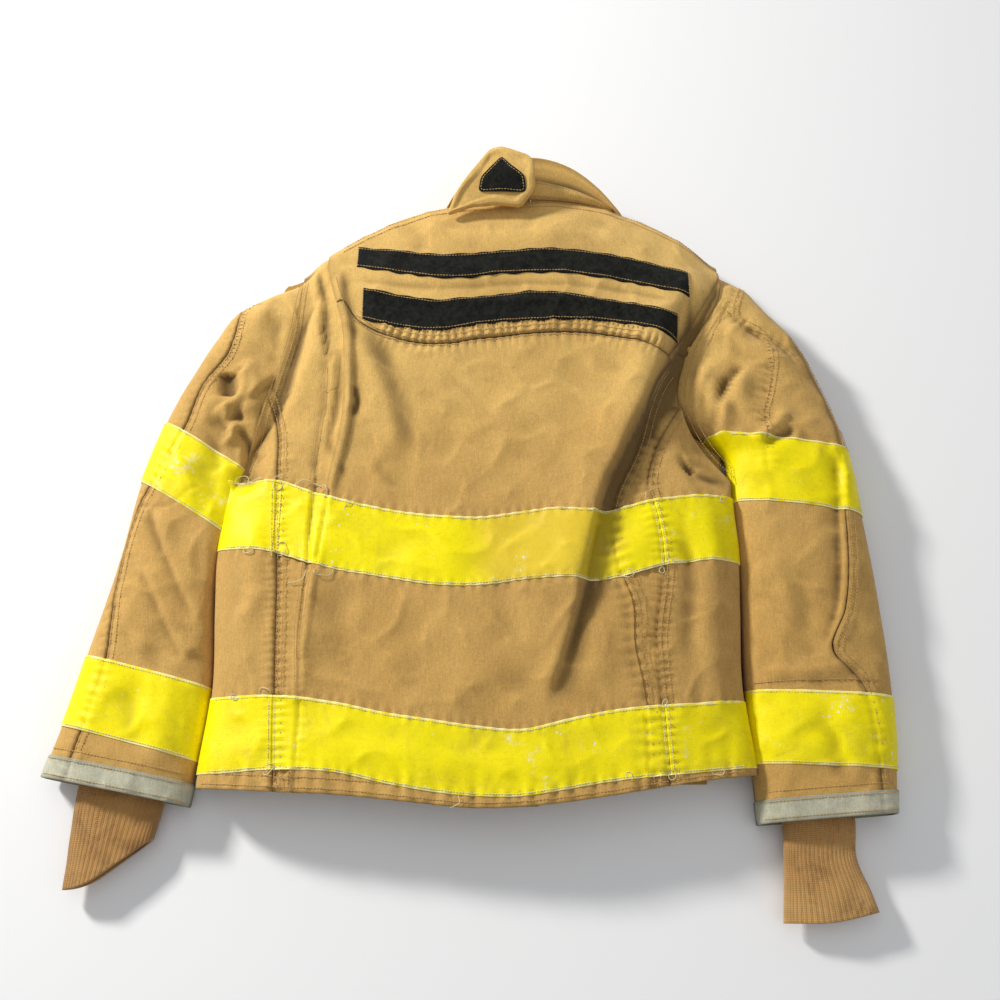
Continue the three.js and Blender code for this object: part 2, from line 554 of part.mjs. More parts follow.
// A block over the sleeve between two slanted lines across it.
function sleeveBlock(s, from, to, lean, z0, z1) {
  const map = (a, b, c) => {
    const q = mix(-150, 150, b);
    return onSleeve(s, mix(from, to, a) + lean * q, q, mix(z0, z1, c));
  };
  return bentBox(map, 1, 1);
}
for (const [name, s] of Object.entries(SLEEVES)) {
  const sideX = TORSO_CENTRE_X + s.side * (TORSO_HALF_WIDTH + SIDE_CLEAR);
  const besideBlock = block(
    Math.min(sideX, s.side * 700), Math.max(sideX, s.side * 700),
    flatY(-700), flatY(s.pivot[1]), -OVER, OVER, 1,
  );
  const room = column(...s.pivot, s.radius).add(besideBlock);
  const tube = (depth, thick) => sleeveCore(s, depth).subtract(sleeveCore(s, depth + thick)).intersect(room);
  const shell = tube(0, SHELL);
  const whole = (z0, z1) => sleeveBlock(s, -200, s.length, 0, z0, z1);
  addPiece(`${name}_sleeve_back`, shell.intersect(whole(SLEEVE_MIDDLE + HALF_GAP, OVER)), TAN);
  addPiece(`${name}_sleeve_front`, shell.intersect(whole(-OVER, SLEEVE_MIDDLE - HALF_GAP)), TAN);
  const liner = tube(SHELL + GAP, QUILT).intersect(sleeveBlock(s, -200, s.length - CUFF_LINER_STEP, 0, -OVER, OVER));
  addPiece(`${name}_sleeve_liner`, liner, LINER);
  const trim = tube(-(TRIM_THICK + GAP), TRIM_THICK);
  const band = (from, width, lean) => trim.intersect(sleeveBlock(s, from, from + width, lean, -OVER, OVER));
  addPiece(`${name}_upper_trim`, band(...s.upperTrim), TRIM);
  addPiece(`${name}_lower_trim`, band(...s.lowerTrim), TRIM);
  addPiece(`${name}_cuff_trim`, band(s.length - CUFF_TRIM_WIDTH, CUFF_TRIM_WIDTH, 0), GREY);
  addPiece(`${name}_wristlet`, wristlet(s), KNIT);
}

function wristlet(s) {
  const w = s.wrist;
  const seat = SLEEVE_LIFT + SHELL + GAP + QUILT + GAP;
  const skin = (inset, spare) =>
    bentCore((angle, b, r) => {
      const middle = mix((w.q0[0] + w.q0[1]) / 2, (w.q1[0] + w.q1[1]) / 2, b);
      const half = mix((w.q0[1] - w.q0[0]) / 2, (w.q1[1] - w.q1[0]) / 2, b) - inset;
      const q = middle + r * s.side * half * Math.sin(angle);
      const l = mix(w.start - spare, w.end + spare, b) + b * w.slant * (q - middle) / half;
      return onSleeve(s, l, q, seat + WRIST_HALF_HEIGHT + r * (WRIST_HALF_HEIGHT - inset) * Math.cos(angle));
    }, SLEEVE_FACETS, 4);
  return skin(0, 0).subtract(skin(WRIST_THICK, 2));
}

const centre = new THREE.Box3().setFromObject(group).getCenter(new THREE.Vector3());
const lowest = new THREE.Box3().setFromObject(group).min.z;
group.position.set(-centre.x, -centre.y, -lowest);

export default group;
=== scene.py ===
"""Turnout coat lying face down: the cloth, trim, knit and stitching over the CAD frame.

Lengths in the shape functions are millimetres in the pattern's own plan, whose origin is a little
off the frame's: shift() takes them to metres in the frame. L and R are the coat's sides as it lies.
"""
import functools
import math

import bpy
import numpy as np
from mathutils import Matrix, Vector


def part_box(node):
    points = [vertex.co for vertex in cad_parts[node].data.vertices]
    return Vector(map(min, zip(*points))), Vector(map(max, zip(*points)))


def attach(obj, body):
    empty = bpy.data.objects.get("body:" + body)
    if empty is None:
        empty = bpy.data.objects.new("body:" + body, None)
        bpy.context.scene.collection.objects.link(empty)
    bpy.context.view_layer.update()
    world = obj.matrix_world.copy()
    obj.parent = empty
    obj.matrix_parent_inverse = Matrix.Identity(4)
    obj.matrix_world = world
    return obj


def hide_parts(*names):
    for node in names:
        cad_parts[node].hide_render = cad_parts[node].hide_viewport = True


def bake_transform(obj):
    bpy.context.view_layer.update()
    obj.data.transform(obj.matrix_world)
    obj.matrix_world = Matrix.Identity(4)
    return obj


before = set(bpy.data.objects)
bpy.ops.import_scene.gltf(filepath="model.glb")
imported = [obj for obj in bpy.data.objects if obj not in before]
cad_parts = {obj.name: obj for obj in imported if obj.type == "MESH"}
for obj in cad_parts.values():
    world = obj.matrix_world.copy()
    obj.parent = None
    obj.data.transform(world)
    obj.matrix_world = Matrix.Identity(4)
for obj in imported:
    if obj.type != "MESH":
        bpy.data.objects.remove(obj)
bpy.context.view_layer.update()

# ---------------------------------------------------------------- plan and frame
STORM_FLAP_HINGE_X = 25.0
STORM_FLAP_LOW_Y = -319.0
PLAN_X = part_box("storm_flap")[1][0] * 1000 - STORM_FLAP_HINGE_X
PLAN_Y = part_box("storm_flap")[0][1] * 1000 - STORM_FLAP_LOW_Y


def shift(points):
    """Plan millimetres to frame metres."""
    moved = np.asarray(points, float) + np.array([PLAN_X, PLAN_Y, 0.0])
    return moved / 1000.0


def spline(points):
    """y as a smooth function of x through the given (x, y) points."""
    table = sorted(points)
    xs = np.array([p[0] for p in table], float)
    ys = np.array([p[1] for p in table], float)
    if len(xs) < 3:
        return lambda x: np.interp(x, xs, ys)
    slopes = np.gradient(ys, xs)

    def value(x):
        x = np.clip(np.asarray(x, float), xs[0], xs[-1])
        i = np.clip(np.searchsorted(xs, x, side="right") - 1, 0, len(xs) - 2)
        h = xs[i + 1] - xs[i]
        k = (x - xs[i]) / h
        a = (1 + 2 * k) * (1 - k) ** 2 * ys[i] + k * (1 - k) ** 2 * h * slopes[i]
        return a + k * k * (3 - 2 * k) * ys[i + 1] + k * k * (k - 1) * h * slopes[i + 1]

    return value


def step(low, high, x):
    k = np.clip((x - low) / (high - low), 0, 1)
    return k * k * (3 - 2 * k)


def mix(a, b, k):
    return a + (b - a) * k


def arch(share, power):
    """Height of a rounded section: 1 in its middle, 0 at its edge. A higher power squares it."""
    return (1 - share**power) ** (1 / power)


def wander(x, y, size, seed=0):
    """Smooth waves of about the given size, from -1 to 1, with no grid showing."""
    total = np.zeros_like(np.asarray(x, float) + np.asarray(y, float))
    rng = np.random.default_rng(seed)
    for _ in range(7):
        angle = rng.uniform(0, 2 * math.pi)
        length = size * rng.uniform(0.75, 1.7)
        phase = rng.uniform(0, 2 * math.pi)
        along = np.asarray(x) * math.cos(angle) + np.asarray(y) * math.sin(angle)
        total = total + np.sin(2 * math.pi * along / length + phase)
    return total / 4.2


def to_path(x, y, path):
    """Signed distance to a polyline (left of it positive) and the way along it, for each point."""
    x, y = np.asarray(x, float), np.asarray(y, float)
    best = np.full(x.shape, 1e9)
    signed = np.zeros(x.shape)
    along = np.zeros(x.shape)
    gone = 0.0
    total = sum(math.dist(a, b) for a, b in zip(path, path[1:]))
    for (ax, ay), (bx, by) in zip(path, path[1:]):
        dx, dy = bx - ax, by - ay
        length = math.hypot(dx, dy)
        k = np.clip(((x - ax) * dx + (y - ay) * dy) / length**2, 0, 1)
        d = np.hypot(x - ax - k * dx, y - ay - k * dy)
        side = np.sign((x - ax) * dy - (y - ay) * dx)
        near = d < best
        best = np.where(near, d, best)
        signed = np.where(near, -side * d, signed)
        along = np.where(near, gone + k * length, along)
        gone += length
    return signed, along, total


def smooth_path(points, count=24):
    """A polyline through the points with its corners rounded."""
    at = np.concatenate([[0], np.cumsum([math.dist(a, b) for a, b in zip(points, points[1:])])])
    fx = spline(list(zip(at, [p[0] for p in points])))
    fy = spline(list(zip(at, [p[1] for p in points])))
    run = np.linspace(0, at[-1], count)
    return list(zip(fx(run).tolist(), fy(run).tolist()))


# A fold: its path, height, width on its left and on its right, and how its ends fade.
def fold(path, height, left, right, fade=0.2):
    return (smooth_path(path, 14), height, left, right, fade)


def folds_at(x, y, folds):
    rise = np.zeros_like(x)
    for path, height, left, right, fade in folds:
        d, along, total = to_path(x, y, path)
        width = np.where(d > 0, left, right)
        ends = step(0, fade * total, along) * step(0, fade * total, total - along)
        rise = rise + height * ends * np.exp(-((d / width) ** 2))
    return rise


# A crease: the cloth stands high on one side of its path and drops away on the other.
def crease(path, height, low_side, high_side, sharp, end=1.0, fade=0.08):
    return (smooth_path(path, 18), height, low_side, high_side, sharp, end, fade)


def crease_ends(share, fade, end):
    """How strong a crease is at a share of its way: it fades in and out, and ends weaker."""
    return step(0, fade, share) * step(0, fade, 1 - share) * mix(1.0, end, share)


def creases_at(x, y, creases):
    rise = np.zeros_like(x)
    for path, height, low_side, high_side, sharp, end, fade in creases:
        d, along, total = to_path(x, y, path)
        width = np.where(d > 0, low_side, high_side)
        ends = crease_ends(along / total, fade, end)
        rise = rise - height * ends * np.tanh(d / sharp) * np.exp(-((d / width) ** 2))
    return rise


FULL_SHADE_HEIGHT = 11  # a crease this high gets full painted shade
WEAKEST_SHADE = 0.15


def crease_shade(x, y, creases):
    """Painted shade on the low side of each crease, from 0 to 1."""
    shade = np.zeros_like(x)
    for path, height, low_side, high_side, sharp, end, fade in creases:
        d, along, total = to_path(x, y, path)
        side, width = (d, low_side) if height > 0 else (-d, high_side)
        ends = crease_ends(along / total, fade, max(end, WEAKEST_SHADE))
        shade = shade + abs(height) / FULL_SHADE_HEIGHT * ends * np.exp(-(((side
            - 1.6 * sharp) / (0.42 * width)) ** 2))
    return np.clip(shade, 0, 1)


def dent(x, y, depth, radius):
    """A dip at one place, or a bump where depth is negative."""
    return fold([(x - 2, y), (x, y + 2), (x + 2, y)], -depth, radius, radius, 0.0001)


# A seam sinks in a groove and gathers the cloth beside it in short ripples.
def seam(path, groove=1.4, pucker=0.7, pitch=13.0, reach=11.0, seed=1):
    return (smooth_path(path, 20), groove, pucker, pitch, reach, seed)


def seams_at(x, y, seams):
    rise = np.zeros_like(x)
    for path, groove, pucker, pitch, reach, seed in seams:
        d, along, _ = to_path(x, y, path)
        rise = rise - groove * np.exp(-((d / 2.0) ** 2))
        beat = np.sin(2 * math.pi * (along + 3.5 * wander(along, along * 0, 40, seed)) / pitch)
        side = np.where(d > 0, 1.0, 0.55)
        rise = rise + pucker * side * beat * np.exp(-((np.abs(d) - 4.5) ** 2) / reach**2)
    return rise


# ---------------------------------------------------------------- sleeves
ARM_MIDDLE_Z = 23.0
ARM_FLOOR_Z = 5.6
ARM_TOP_POWER, ARM_LOW_POWER = 2.6, 6
HEAD_TIP, HEAD_TAPER = -159, 34  # the sleeve head closes to nothing at its tip


class Arm:
    """A sleeve's skin: l runs along the arm and q out from it, from the pivot in the shoulder."""

    def __init__(self, pivot, along, out, outer, inner):
        self.pivot, self.along, self.out = pivot, along, out
        self.outer, self.inner = spline(outer), spline(inner)
        self.folds, self.creases, self.seams, self.seed = [], [], [], 1

    def local(self, x, y):
        dx, dy = np.asarray(x) - self.pivot[0], np.asarray(y) - self.pivot[1]
        return dx * self.along[0] + dy * self.along[1], dx * self.out[0] + dy * self.out[1]

    def plan(self, l, q):
        x = self.pivot[0] + l * self.along[0] + q * self.out[0]
        return x, self.pivot[1] + l * self.along[1] + q * self.out[1]

    def across(self, l):
        outer, inner = self.outer(l), self.inner(l)
        return (outer + inner) / 2, (outer - inner) / 2

    def t_of(self, l, q):
        centre, half = self.across(l)
        return (2 / math.pi) * np.arcsin(np.clip((q - centre) / half, -0.999, 0.999))

    def rise(self, l):
        _, half = self.across(l)
        full = 27 + 7 * step(170, 30, l)
        return full * np.minimum(1, np.sqrt(np.maximum(half, 2) / 44)) - 5 * step(380, 450, l)

    def slack(self, l, q):
        lift = folds_at(l, q, self.folds) + creases_at(l, q, self.creases) + seams_at(l, q, self.seams)
        ridged = (1 - np.abs(wander(l, q, 56, self.seed + 2))) ** 3 * (1
            - np.abs(wander(l, q, 80, self.seed + 3))) ** 2
        return lift + 1.6 * wander(l, q, 80, self.seed) + 0.7 * wander(l, q, 30,
            self.seed + 1) + 2.4 * ridged

    def at(self, l, t, lift=0.0):
        l, t = np.broadcast_arrays(np.asarray(l, float), np.asarray(t, float))
        centre, half = self.across(l)
        sine = np.sin(math.pi * t / 2)
        share = np.minimum(np.abs(sine), 1.0)
        q = centre + (half + lift) * sine
        closed = np.sqrt(np.clip((l - HEAD_TIP) / HEAD_TAPER, 0.0, 1))
        top = ARM_MIDDLE_Z + (self.rise(l) * closed + lift) * arch(share, ARM_TOP_POWER)
        low = ARM_MIDDLE_Z - ((ARM_MIDDLE_Z - ARM_FLOOR_Z) * closed + lift) * arch(share, ARM_LOW_POWER)
        top = top + self.slack(l, q) * np.clip((1 - share) / 0.12, 0, 1)
        x, y = self.plan(l, q)
        return np.stack([x, y, np.where(np.abs(t) <= 1, top, low)], -1)


LEFT_ARM = Arm(
    (-312, 130), (-0.19, -0.982), (-0.982, 0.19),
    [(-190, -98), (-160, -70), (-133, -42), (-113, -17), (-93, 5), (-60, 20), (-19, 33), (46, 48),
    (120, 56), (207, 54),
     (319, 58), (387, 61), (440, 66), (560, 66)],
    [(-190, -122), (-160, -104), (-133, -92), (-100, -84), (36, -74), (62, -62), (86, -54), (110, -52),
    (150, -52), (187, -49), (323, -74), (440, -80), (560, -80)],
)
RIGHT_ARM = Arm(
    (300, 128), (0.078, -0.997), (0.997, 0.078),
    [(-190, -78), (-162, -50), (-126, -9), (-96, 11), (-59, 38), (-2, 58), (58, 73), (153, 79), (242, 80),
    (349, 76), (452, 62),
     (473, 58), (560, 58)],
    [(-190, -96), (-162, -84), (-110, -82), (-51, -91), (0, -104), (28, -94), (48, -72), (66, -56),
    (100, -55), (187, -57), (326, -69),
     (459, -74), (560, -74)],
)
LEFT_ARM.seed, RIGHT_ARM.seed = 41, 51
left_arm_seam = [(-134, -14), (-98, -5), (-39, -3), (4, 14), (50, 19), (124, 40), (151, 47), (185, 49),
    (250, 44),
                 (314, 32), (386, 34), (460, 42)]
right_arm_seam = [(-134, 2), (-86, 20), (-26, 44), (30, 60), (84, 63), (159, 55), (187, 52), (254, 38),
    (299, 18),
                  (330, 41), (386, 47), (470, 43)]
LEFT_ARM.folds = [
    fold([(-14, -9), (2, -13), (15, -16)], -11.0, 9, 8, 0.1),
    fold([(-20, -22), (-14, -27), (2, -32), (20, -26), (30, -14)], 6.5, 5, 7, 0.12),
    fold([(30, -40), (44, -26), (52, -30)], -5.0, 6, 6, 0.2),
    fold([(-34, -20), (-14, -40), (8, -46), (34, -38)], 6.0, 7, 9, 0.2),
    fold([(26, -6), (40, -22), (70, -34)], 5.0, 7, 10, 0.2),
    fold([(56, -26), (72, -46), (100, -52)], 6.0, 7, 9, 0.2),
    fold([(46, -34), (64, -52), (92, -60)], -6.0, 5, 6, 0.2),
    fold([(40, 0), (70, -16), (104, -30)], -3.5, 9, 9, 0.2),
    fold([(-110, -30), (-70, -28), (-40, -36)], 3.6, 14, 12, 0.3),
    fold([(-100, -50), (-60, -52), (-20, -56)], -2.4, 8, 8, 0.3),
    fold([(84, 30), (116, 8), (150, -24)], 3.4, 14, 12, 0.3),
    fold([(84, 0), (110, -20), (140, -40)], -3.0, 10, 9, 0.3),
    fold([(150, -30), (230, -52), (300, -60)], 3.6, 10, 9, 0.2),
    fold([(330, 10), (372, -8), (410, -30)], -3.0, 12, 12, 0.3),
    fold([(320, -40), (380, -46), (430, -50)], 3.0, 12, 12, 0.3),
    fold([(330, 44), (380, 30), (430, 40)], 2.4, 12, 10, 0.3),
]
LEFT_ARM.creases = [
    crease([(150, 34), (186, 10), (226, -20), (262, -50)], 4.5, 14, 22, 4.0, 0.6, 0.15),
    crease([(216, 24), (250, -4), (282, -30), (306, -52)], 4.0, 12, 20, 4.0, 0.6, 0.15),
    crease([(250, 40), (284, 18), (312, -8)], 3.0, 12, 16, 4.0, 0.6, 0.2),
    crease([(12, -52), (34, -58), (60, -60), (92, -62)], -4.0, 9, 9, 3.0, 0.8, 0.15),
    crease([(18, -38), (-1, -51), (-24, -62)], 4.0, 9, 12, 3.0, 0.8, 0.2),
    crease([(34, -14), (54, -30), (70, -50)], 4.0, 9, 9, 2.6, 0.8, 0.2),
]
RIGHT_ARM.folds = [
    fold([(70, 46), (120, 46), (159, 40), (187, 36), (254, 22), (299, 2)], 3.0, 10, 28, 0.18),
    fold([(66, -34), (55, -18), (49, -6), (38, 4), (40, 14)], 6.5, 6, 8, 0.15),
    fold([(70, -20), (60, -2), (56, 10), (48, 12)], -6.0, 5, 6, 0.2),
    fold([(56, 18), (66, 32), (76, 58)], -3.0, 6, 8, 0.2),
    fold([(-92, -30), (-64, -10), (-50, 16), (-24, 34)], -3.4, 8, 8, 0.2),
    fold([(-84, -44), (-50, -22), (-34, 8), (-10, 26)], 4.0, 10, 9, 0.2),
    fold([(-40, -70), (0, -66), (34, -64), (60, -70)], 5.4, 12, 12, 0.25),
    fold([(-16, -30), (10, -36), (34, -30)], 4.4, 9, 9, 0.3),
    fold([(-20, -50), (14, -52), (40, -48)], -3.4, 7, 8, 0.3),
    fold([(190, -40), (230, -20), (290, -24)], 3.4, 14, 14, 0.3),
    fold([(200, -10), (250, -4), (310, -20)], -3.2, 14, 14, 0.3),
    fold([(312, -60), (316, -10), (312, 40)], 3.4, 7, 9, 0.2),
    fold([(350, -20), (390, 4), (430, 0)], -3.0, 12, 12, 0.3),
    fold([(340, 16), (380, 26), (440, 22)], 2.8, 12, 12, 0.3),
    fold([(80, -30), (110, 0), (146, 14)], 3.2, 16, 14, 0.3),
]
RIGHT_ARM.creases = [
    crease([(78, 60), (120, 58), (159, 51), (187, 47), (254, 33), (299, 10)], -5.5, 26, 20, 3.6, 0.9, 0.12),
    crease([(-24, -24), (-9, -42), (17, -59), (55, -68), (87, -72)], -6.5, 15, 12, 3.0, 1.0, 0.12),
    crease([(-30, -62), (0, -78), (30, -84), (54, -78)], 3.0, 12, 10, 4.0, 1.0, 0.2),
]
LEFT_ARM.seams = [seam(left_arm_seam, 1.4, 0.7, 10.0, 8.0, 11),
    seam([(120, -10), (146, 16), (150, 46)], 1.0, 0.4, 9, 6, 12)]
right_inner_seam = [(-128, -22), (-86, -34), (-54, -3), (9, -10), (30, -18), (60, -18), (96, -20)]
right_head_seam = [(-96, -44), (-76, -30), (-58, 0), (-44, 18), (-22, 32)]
right_forearm_seam = [(325, -62), (328, 0), (332, 60)]
RIGHT_ARM.seams = [
    seam(right_inner_seam, 1.4, 0.8, 9.0, 8.0, 13),
    seam(right_arm_seam[4:], 1.2, 0.5, 11.0, 7.0, 14),
    seam(right_head_seam, 1.2, 0.7, 8.0, 7.0, 15),
    seam(right_forearm_seam, 0.8, 0.6, 7.0, 6.0, 16),
]


def arm_height(arm, x, y):
    """Top of the sleeve at a plan point, which the torso's armhole edge sits on."""
    l, q = arm.local(x, y)
    centre, half = arm.across(l)
    share = np.clip(np.abs((q - centre) / half), 0, 0.94)
    return ARM_MIDDLE_Z + arm.rise(l) * arch(share, ARM_TOP_POWER) + 2.4


def arm_region(arm, t_from, t_to, l_low, l_high, lifted=0.0):
    """place() for a sleeve piece between two edges round it (t of l) and two along it (l of q)."""

    def place(u, v, lift):
        lift = lift + lifted
        q = np.zeros_like(u)
        t = np.zeros_like(u)
        l = np.zeros_like(u)
        for _ in range(6):
            l = mix(l_low(q), l_high(q), v)
            t = mix(t_from(l), t_to(l), u)
            centre, half = arm.across(l)
            q = centre + half * np.sin(math.pi * t / 2)
        return arm.at(l, t, lift)

    return place


# ---------------------------------------------------------------- torso
MIDDLE_Z = 31.0
FLOOR_SIDE_Z = 11.6
CROWN = 39.0
TORSO_TOP_POWER, TORSO_LOW_POWER = 3, 8
ROLL_RADIUS, ROLL_INSET = 15.0, 10.0  # how the back turns over at the shoulder
torso_left = spline(
    [(-345, -303), (-300, -302), (-203, -293), (-120, -297), (-63, -299), (-18, -295), (30, -292),
     (70, -300), (120, -330), (180, -350), (400, -352)]
)
torso_right = spline(
    [(-345, 259), (-290, 256), (-203, 247), (-120, 250), (-63, 252), (0, 249), (40, 250),
     (80, 268), (130, 300), (180, 312), (400, 314)]
)
hem_edge = spline(
    [(-320, -303), (-300, -305), (-222, -310), (-161, -313), (-90, -320), (-20, -326), (50, -322),
     (101, -315), (202, -299), (258, -292), (280, -290)]
)
shoulder_line = spline(
    [(-330, 226), (-284, 250), (-221, 274), (-168, 309), (-110, 340), (-58, 354), (0, 360), (70, 362),
     (116, 355), (141, 345), (189, 322), (224, 300), (280, 266), (330, 240)]
)
left_armhole = [(-228, 262), (-236, 196), (-253, 123), (-266, 72), (-281, 22)]
right_armhole = [(250, 290), (247, 234), (212, 172), (199, 111), (218, 58), (249, 20)]
left_side_seam = [(-254, 118), (-240, 70), (-237, 19), (-234, -40), (-231, -81), (-228, -150), (-226, -208),
    (-221, -310)]
left_pleat = [(-212, 262), (-204, 230), (-198, 192), (-189, 164), (-187, 119), (-192, 64), (-197, 14),
    (-199, -40),
              (-200, -85), (-204, -143), (-201, -200), (-202, -312)]
left_edge_fold = [(-190, 272), (-182, 240), (-171, 205), (-164, 133), (-165, 77), (-176, 13), (-182, -40),
    (-189, -90),
                  (-193, -132), (-197, -180), (-198, -230)]
right_side_seam = [(199, 108), (188, 91), (164, 45), (157, 1), (161, -14), (169, -82), (159, -157),
    (162, -229),
                   (166, -312)]
right_pleat = [(196, 166), (172, 128), (144, 45), (120, -9), (117, -23), (126, -94), (134, -119),
    (135, -163),
               (143, -212), (146, -312)]
yoke_seam = [(-183, 274), (-173, 226), (-159, 203), (-135, 187), (-100, 175), (-66, 171), (-22, 178),
    (10, 182),
             (44, 185), (85, 186), (111, 183), (150, 172), (190, 158), (212, 190), (235, 239), (240, 262)]
chest_top = spline(
    [(-310, 22), (-278, 18), (-240, 16), (-181, -5), (-120, -20), (-74, -27), (-20, -29), (21, -24),
    (55, -21),
     (95, -24), (159, -8), (200, -2), (260, 2)]
)
chest_low = spline(
    [(-310, -58), (-278, -61), (-235, -66), (-188, -82), (-120, -95), (-73, -103), (-20, -104), (21, -99),
    (62, -97),
     (95, -98), (125, -93), (172, -80), (245, -73), (260, -73)]
)
hem_top = spline(
    [(-310, -214), (-285, -215), (-223, -215), (-162, -223), (-110, -234), (-70, -240), (-20, -247),
    (20, -250),
     (70, -239), (110, -231), (141, -227), (192, -223), (262, -216)]
)
hem_low = spline(
    [(-310, -291), (-285, -292), (-220, -289), (-160, -292), (-110, -303), (-70, -310), (-20, -315),
    (20, -315),
     (60, -309), (100, -302), (140, -297), (180, -293), (262, -284)]
)

# The right-hand drag line runs from the yoke's corner to the hem: high on its left, a drop on its right.
torso_creases = [
    crease([(256, 262), (240, 224), (216, 186), (188, 148), (168, 112), (148, 74), (130, 40), (112, 4),
    (98, -50),
            (76, -140), (46, -230)], 19.0, 34, 46, 4.5, 0.14, 0.05),
    crease([(-210, 276), (-207, 254), (-200, 226), (-197, 187), (-190, 150)], 6.5, 10, 14, 2.2, 0.35, 0.15),
    crease([(-180, 268), (-176, 236), (-168, 205), (-161, 133), (-162, 77), (-173, 13), (-181, -30)], 3.0,
    12, 12, 2.4, 0.7),
    crease([(-160, 192), (-143, 165), (-124, 123), (-110, 74), (-103, 33)], 6.5, 20, 26, 7.0, 0.7, 0.2),
    crease([(-163, 122), (-158, 104), (-163, 84)], 4.0, 8, 6, 2.2, 0.8, 0.3),
    crease([(-186, 60), (-176, 30), (-160, 8)], 2.2, 9, 10, 3.0, 0.8, 0.3),
    crease([(-136, 40), (-126, 14), (-104, -6)], 2.2, 12, 10, 4.0, 0.8, 0.3),
    crease([(196, 50), (206, 30), (226, 22), (240, 20)], -3.6, 9, 9, 2.6, 0.8, 0.2),
    crease([(206, 66), (216, 50), (238, 42)], 3.0, 9, 8, 2.6, 0.8, 0.25),
    crease([(-190, 160), (-188, 119), (-193, 64), (-197, 14)], -2.2, 9, 9, 2.0, 1.0, 0.1),
    crease([(-189, -84), (-193, -132), (-198, -186)], 2.4, 8, 10, 2.0, 0.6, 0.1),
    crease([(120, -90), (132, -119), (134, -163), (142, -212)], -1.8, 9, 10, 2.0, 0.8, 0.1),
    crease([(150, 92), (164, 60), (160, 20), (156, -10)], 2.4, 16, 12, 5.0, 0.7, 0.2),
    crease([(236, 150), (226, 110), (228, 70), (240, 36)], 3.0, 16, 18, 5.0, 0.8, 0.2),
]
torso_folds = [
    fold([(226, 226), (178, 160), (138, 86), (112, 10), (92, -80), (60, -160), (30, -236)], 4.5, 14, 62,
    0.1),
    fold(left_edge_fold, 2.5, 16, 8, 0.1),
    fold([(-206, 300), (-200, 250), (-196, 205)], 4.5, 9, 16, 0.2),
    fold([(-222, 240), (-214, 190), (-222, 130), (-236, 80)], 5.0, 12, 14, 0.2),
    fold([(-150, 196), (-128, 150), (-100, 92), (-86, 30)], 2.2, 24, 22, 0.3),
    fold([(-176, 170), (-176, 120), (-184, 60), (-188, 20)], -3.4, 5, 6, 0.2),
    fold([(-196, -20), (-190, -90), (-196, -170), (-204, -236)], 3.5, 8, 12, 0.2),
    fold([(20, 150), (34, 60), (40, -40)], 3.0, 40, 46, 0.35),
    fold([(-60, -120), (-30, -180), (-4, -236)], 3.6, 22, 30, 0.3),
    fold([(0, -116), (14, -170), (20, -228)], -2.8, 20, 16, 0.3),
    fold([(64, -100), (52, -160), (28, -226)], -4.4, 14, 18, 0.2),
    fold([(98, -108), (96, -170), (84, -220)], 3.0, 14, 16, 0.3),
    fold([(-150, -110), (-120, -160), (-100, -214)], 2.2, 16, 22, 0.3),
    fold([(-176, -100), (-160, -160), (-150, -220)], -2.0, 12, 12, 0.3),
    fold([(152, 66), (136, 20), (130, -40)], 3.0, 9, 12, 0.3),
    fold([(214, 20), (222, -60), (214, -160), (224, -250)], 4.6, 16, 14, 0.2),
    fold([(190, -20), (196, -90), (188, -190)], -3.6, 10, 10, 0.25),
    fold([(176, -96), (206, -120), (236, -128)], 2.2, 7, 9, 0.25),
    fold([(-262, -20), (-256, -100), (-262, -180)], 4.0, 14, 14, 0.25),
    fold([(-240, -96), (-262, -130), (-280, -140)], 2.0, 8, 10, 0.25),
    fold([(-176, 246), (-120, 232), (-60, 222), (60, 224), (200, 208)], 2.2, 6, 8, 0.1),
    fold([(-176, 252), (-60, 240), (10, 246), (120, 240), (210, 218)], -1.6, 4, 5, 0.1),
    fold([(-110, 322), (-30, 306), (90, 312), (190, 286)], 2.6, 12, 16, 0.2),
    fold([(-120, 340), (-90, 306), (-96, 280)], -2.0, 9, 9, 0.25),
    fold([(40, 340), (30, 316), (44, 300)], -1.4, 12, 9, 0.25),
    fold([(-220, -262), (-140, -268), (-40, -284), (60, -282), (160, -266)], 1.8, 12, 14, 0.2),
    fold([(-268, 20), (-256, 56), (-244, 92)], 2.5, 8, 9, 0.3),
    dent(204, 24, 6, 12),
    dent(222, 40, -5, 11),
    dent(-262, 40, 4, 10),
    dent(238, 222, 7, 8),
]
torso_seams = [
    seam(yoke_seam[3:13], 1.2, 1.5, 9.5, 9.0, 3),
    seam(left_side_seam, 1.3, 0.9, 8.0, 8.0, 4),
    seam(left_pleat, 2.0, 0.3, 9.0, 7.0, 5),
    seam([(-181, -2), (-186, -45), (-190, -88)], 2.4, 0.1, 9.0, 4.0, 15),
    seam([(-196, -6), (-199, -45), (-200, -84)], 1.6, 0.1, 9.0, 4.0, 16),
    seam(left_armhole, 1.3, 0.8, 11.0, 10.0, 6),
    seam(right_armhole[1:], 1.3, 0.9, 11.0, 10.0, 7),
    seam(right_side_seam, 1.3, 1.1, 9.0, 9.0, 8),
    seam(right_pleat, 1.2, 0.9, 12.0, 9.0, 9),
]


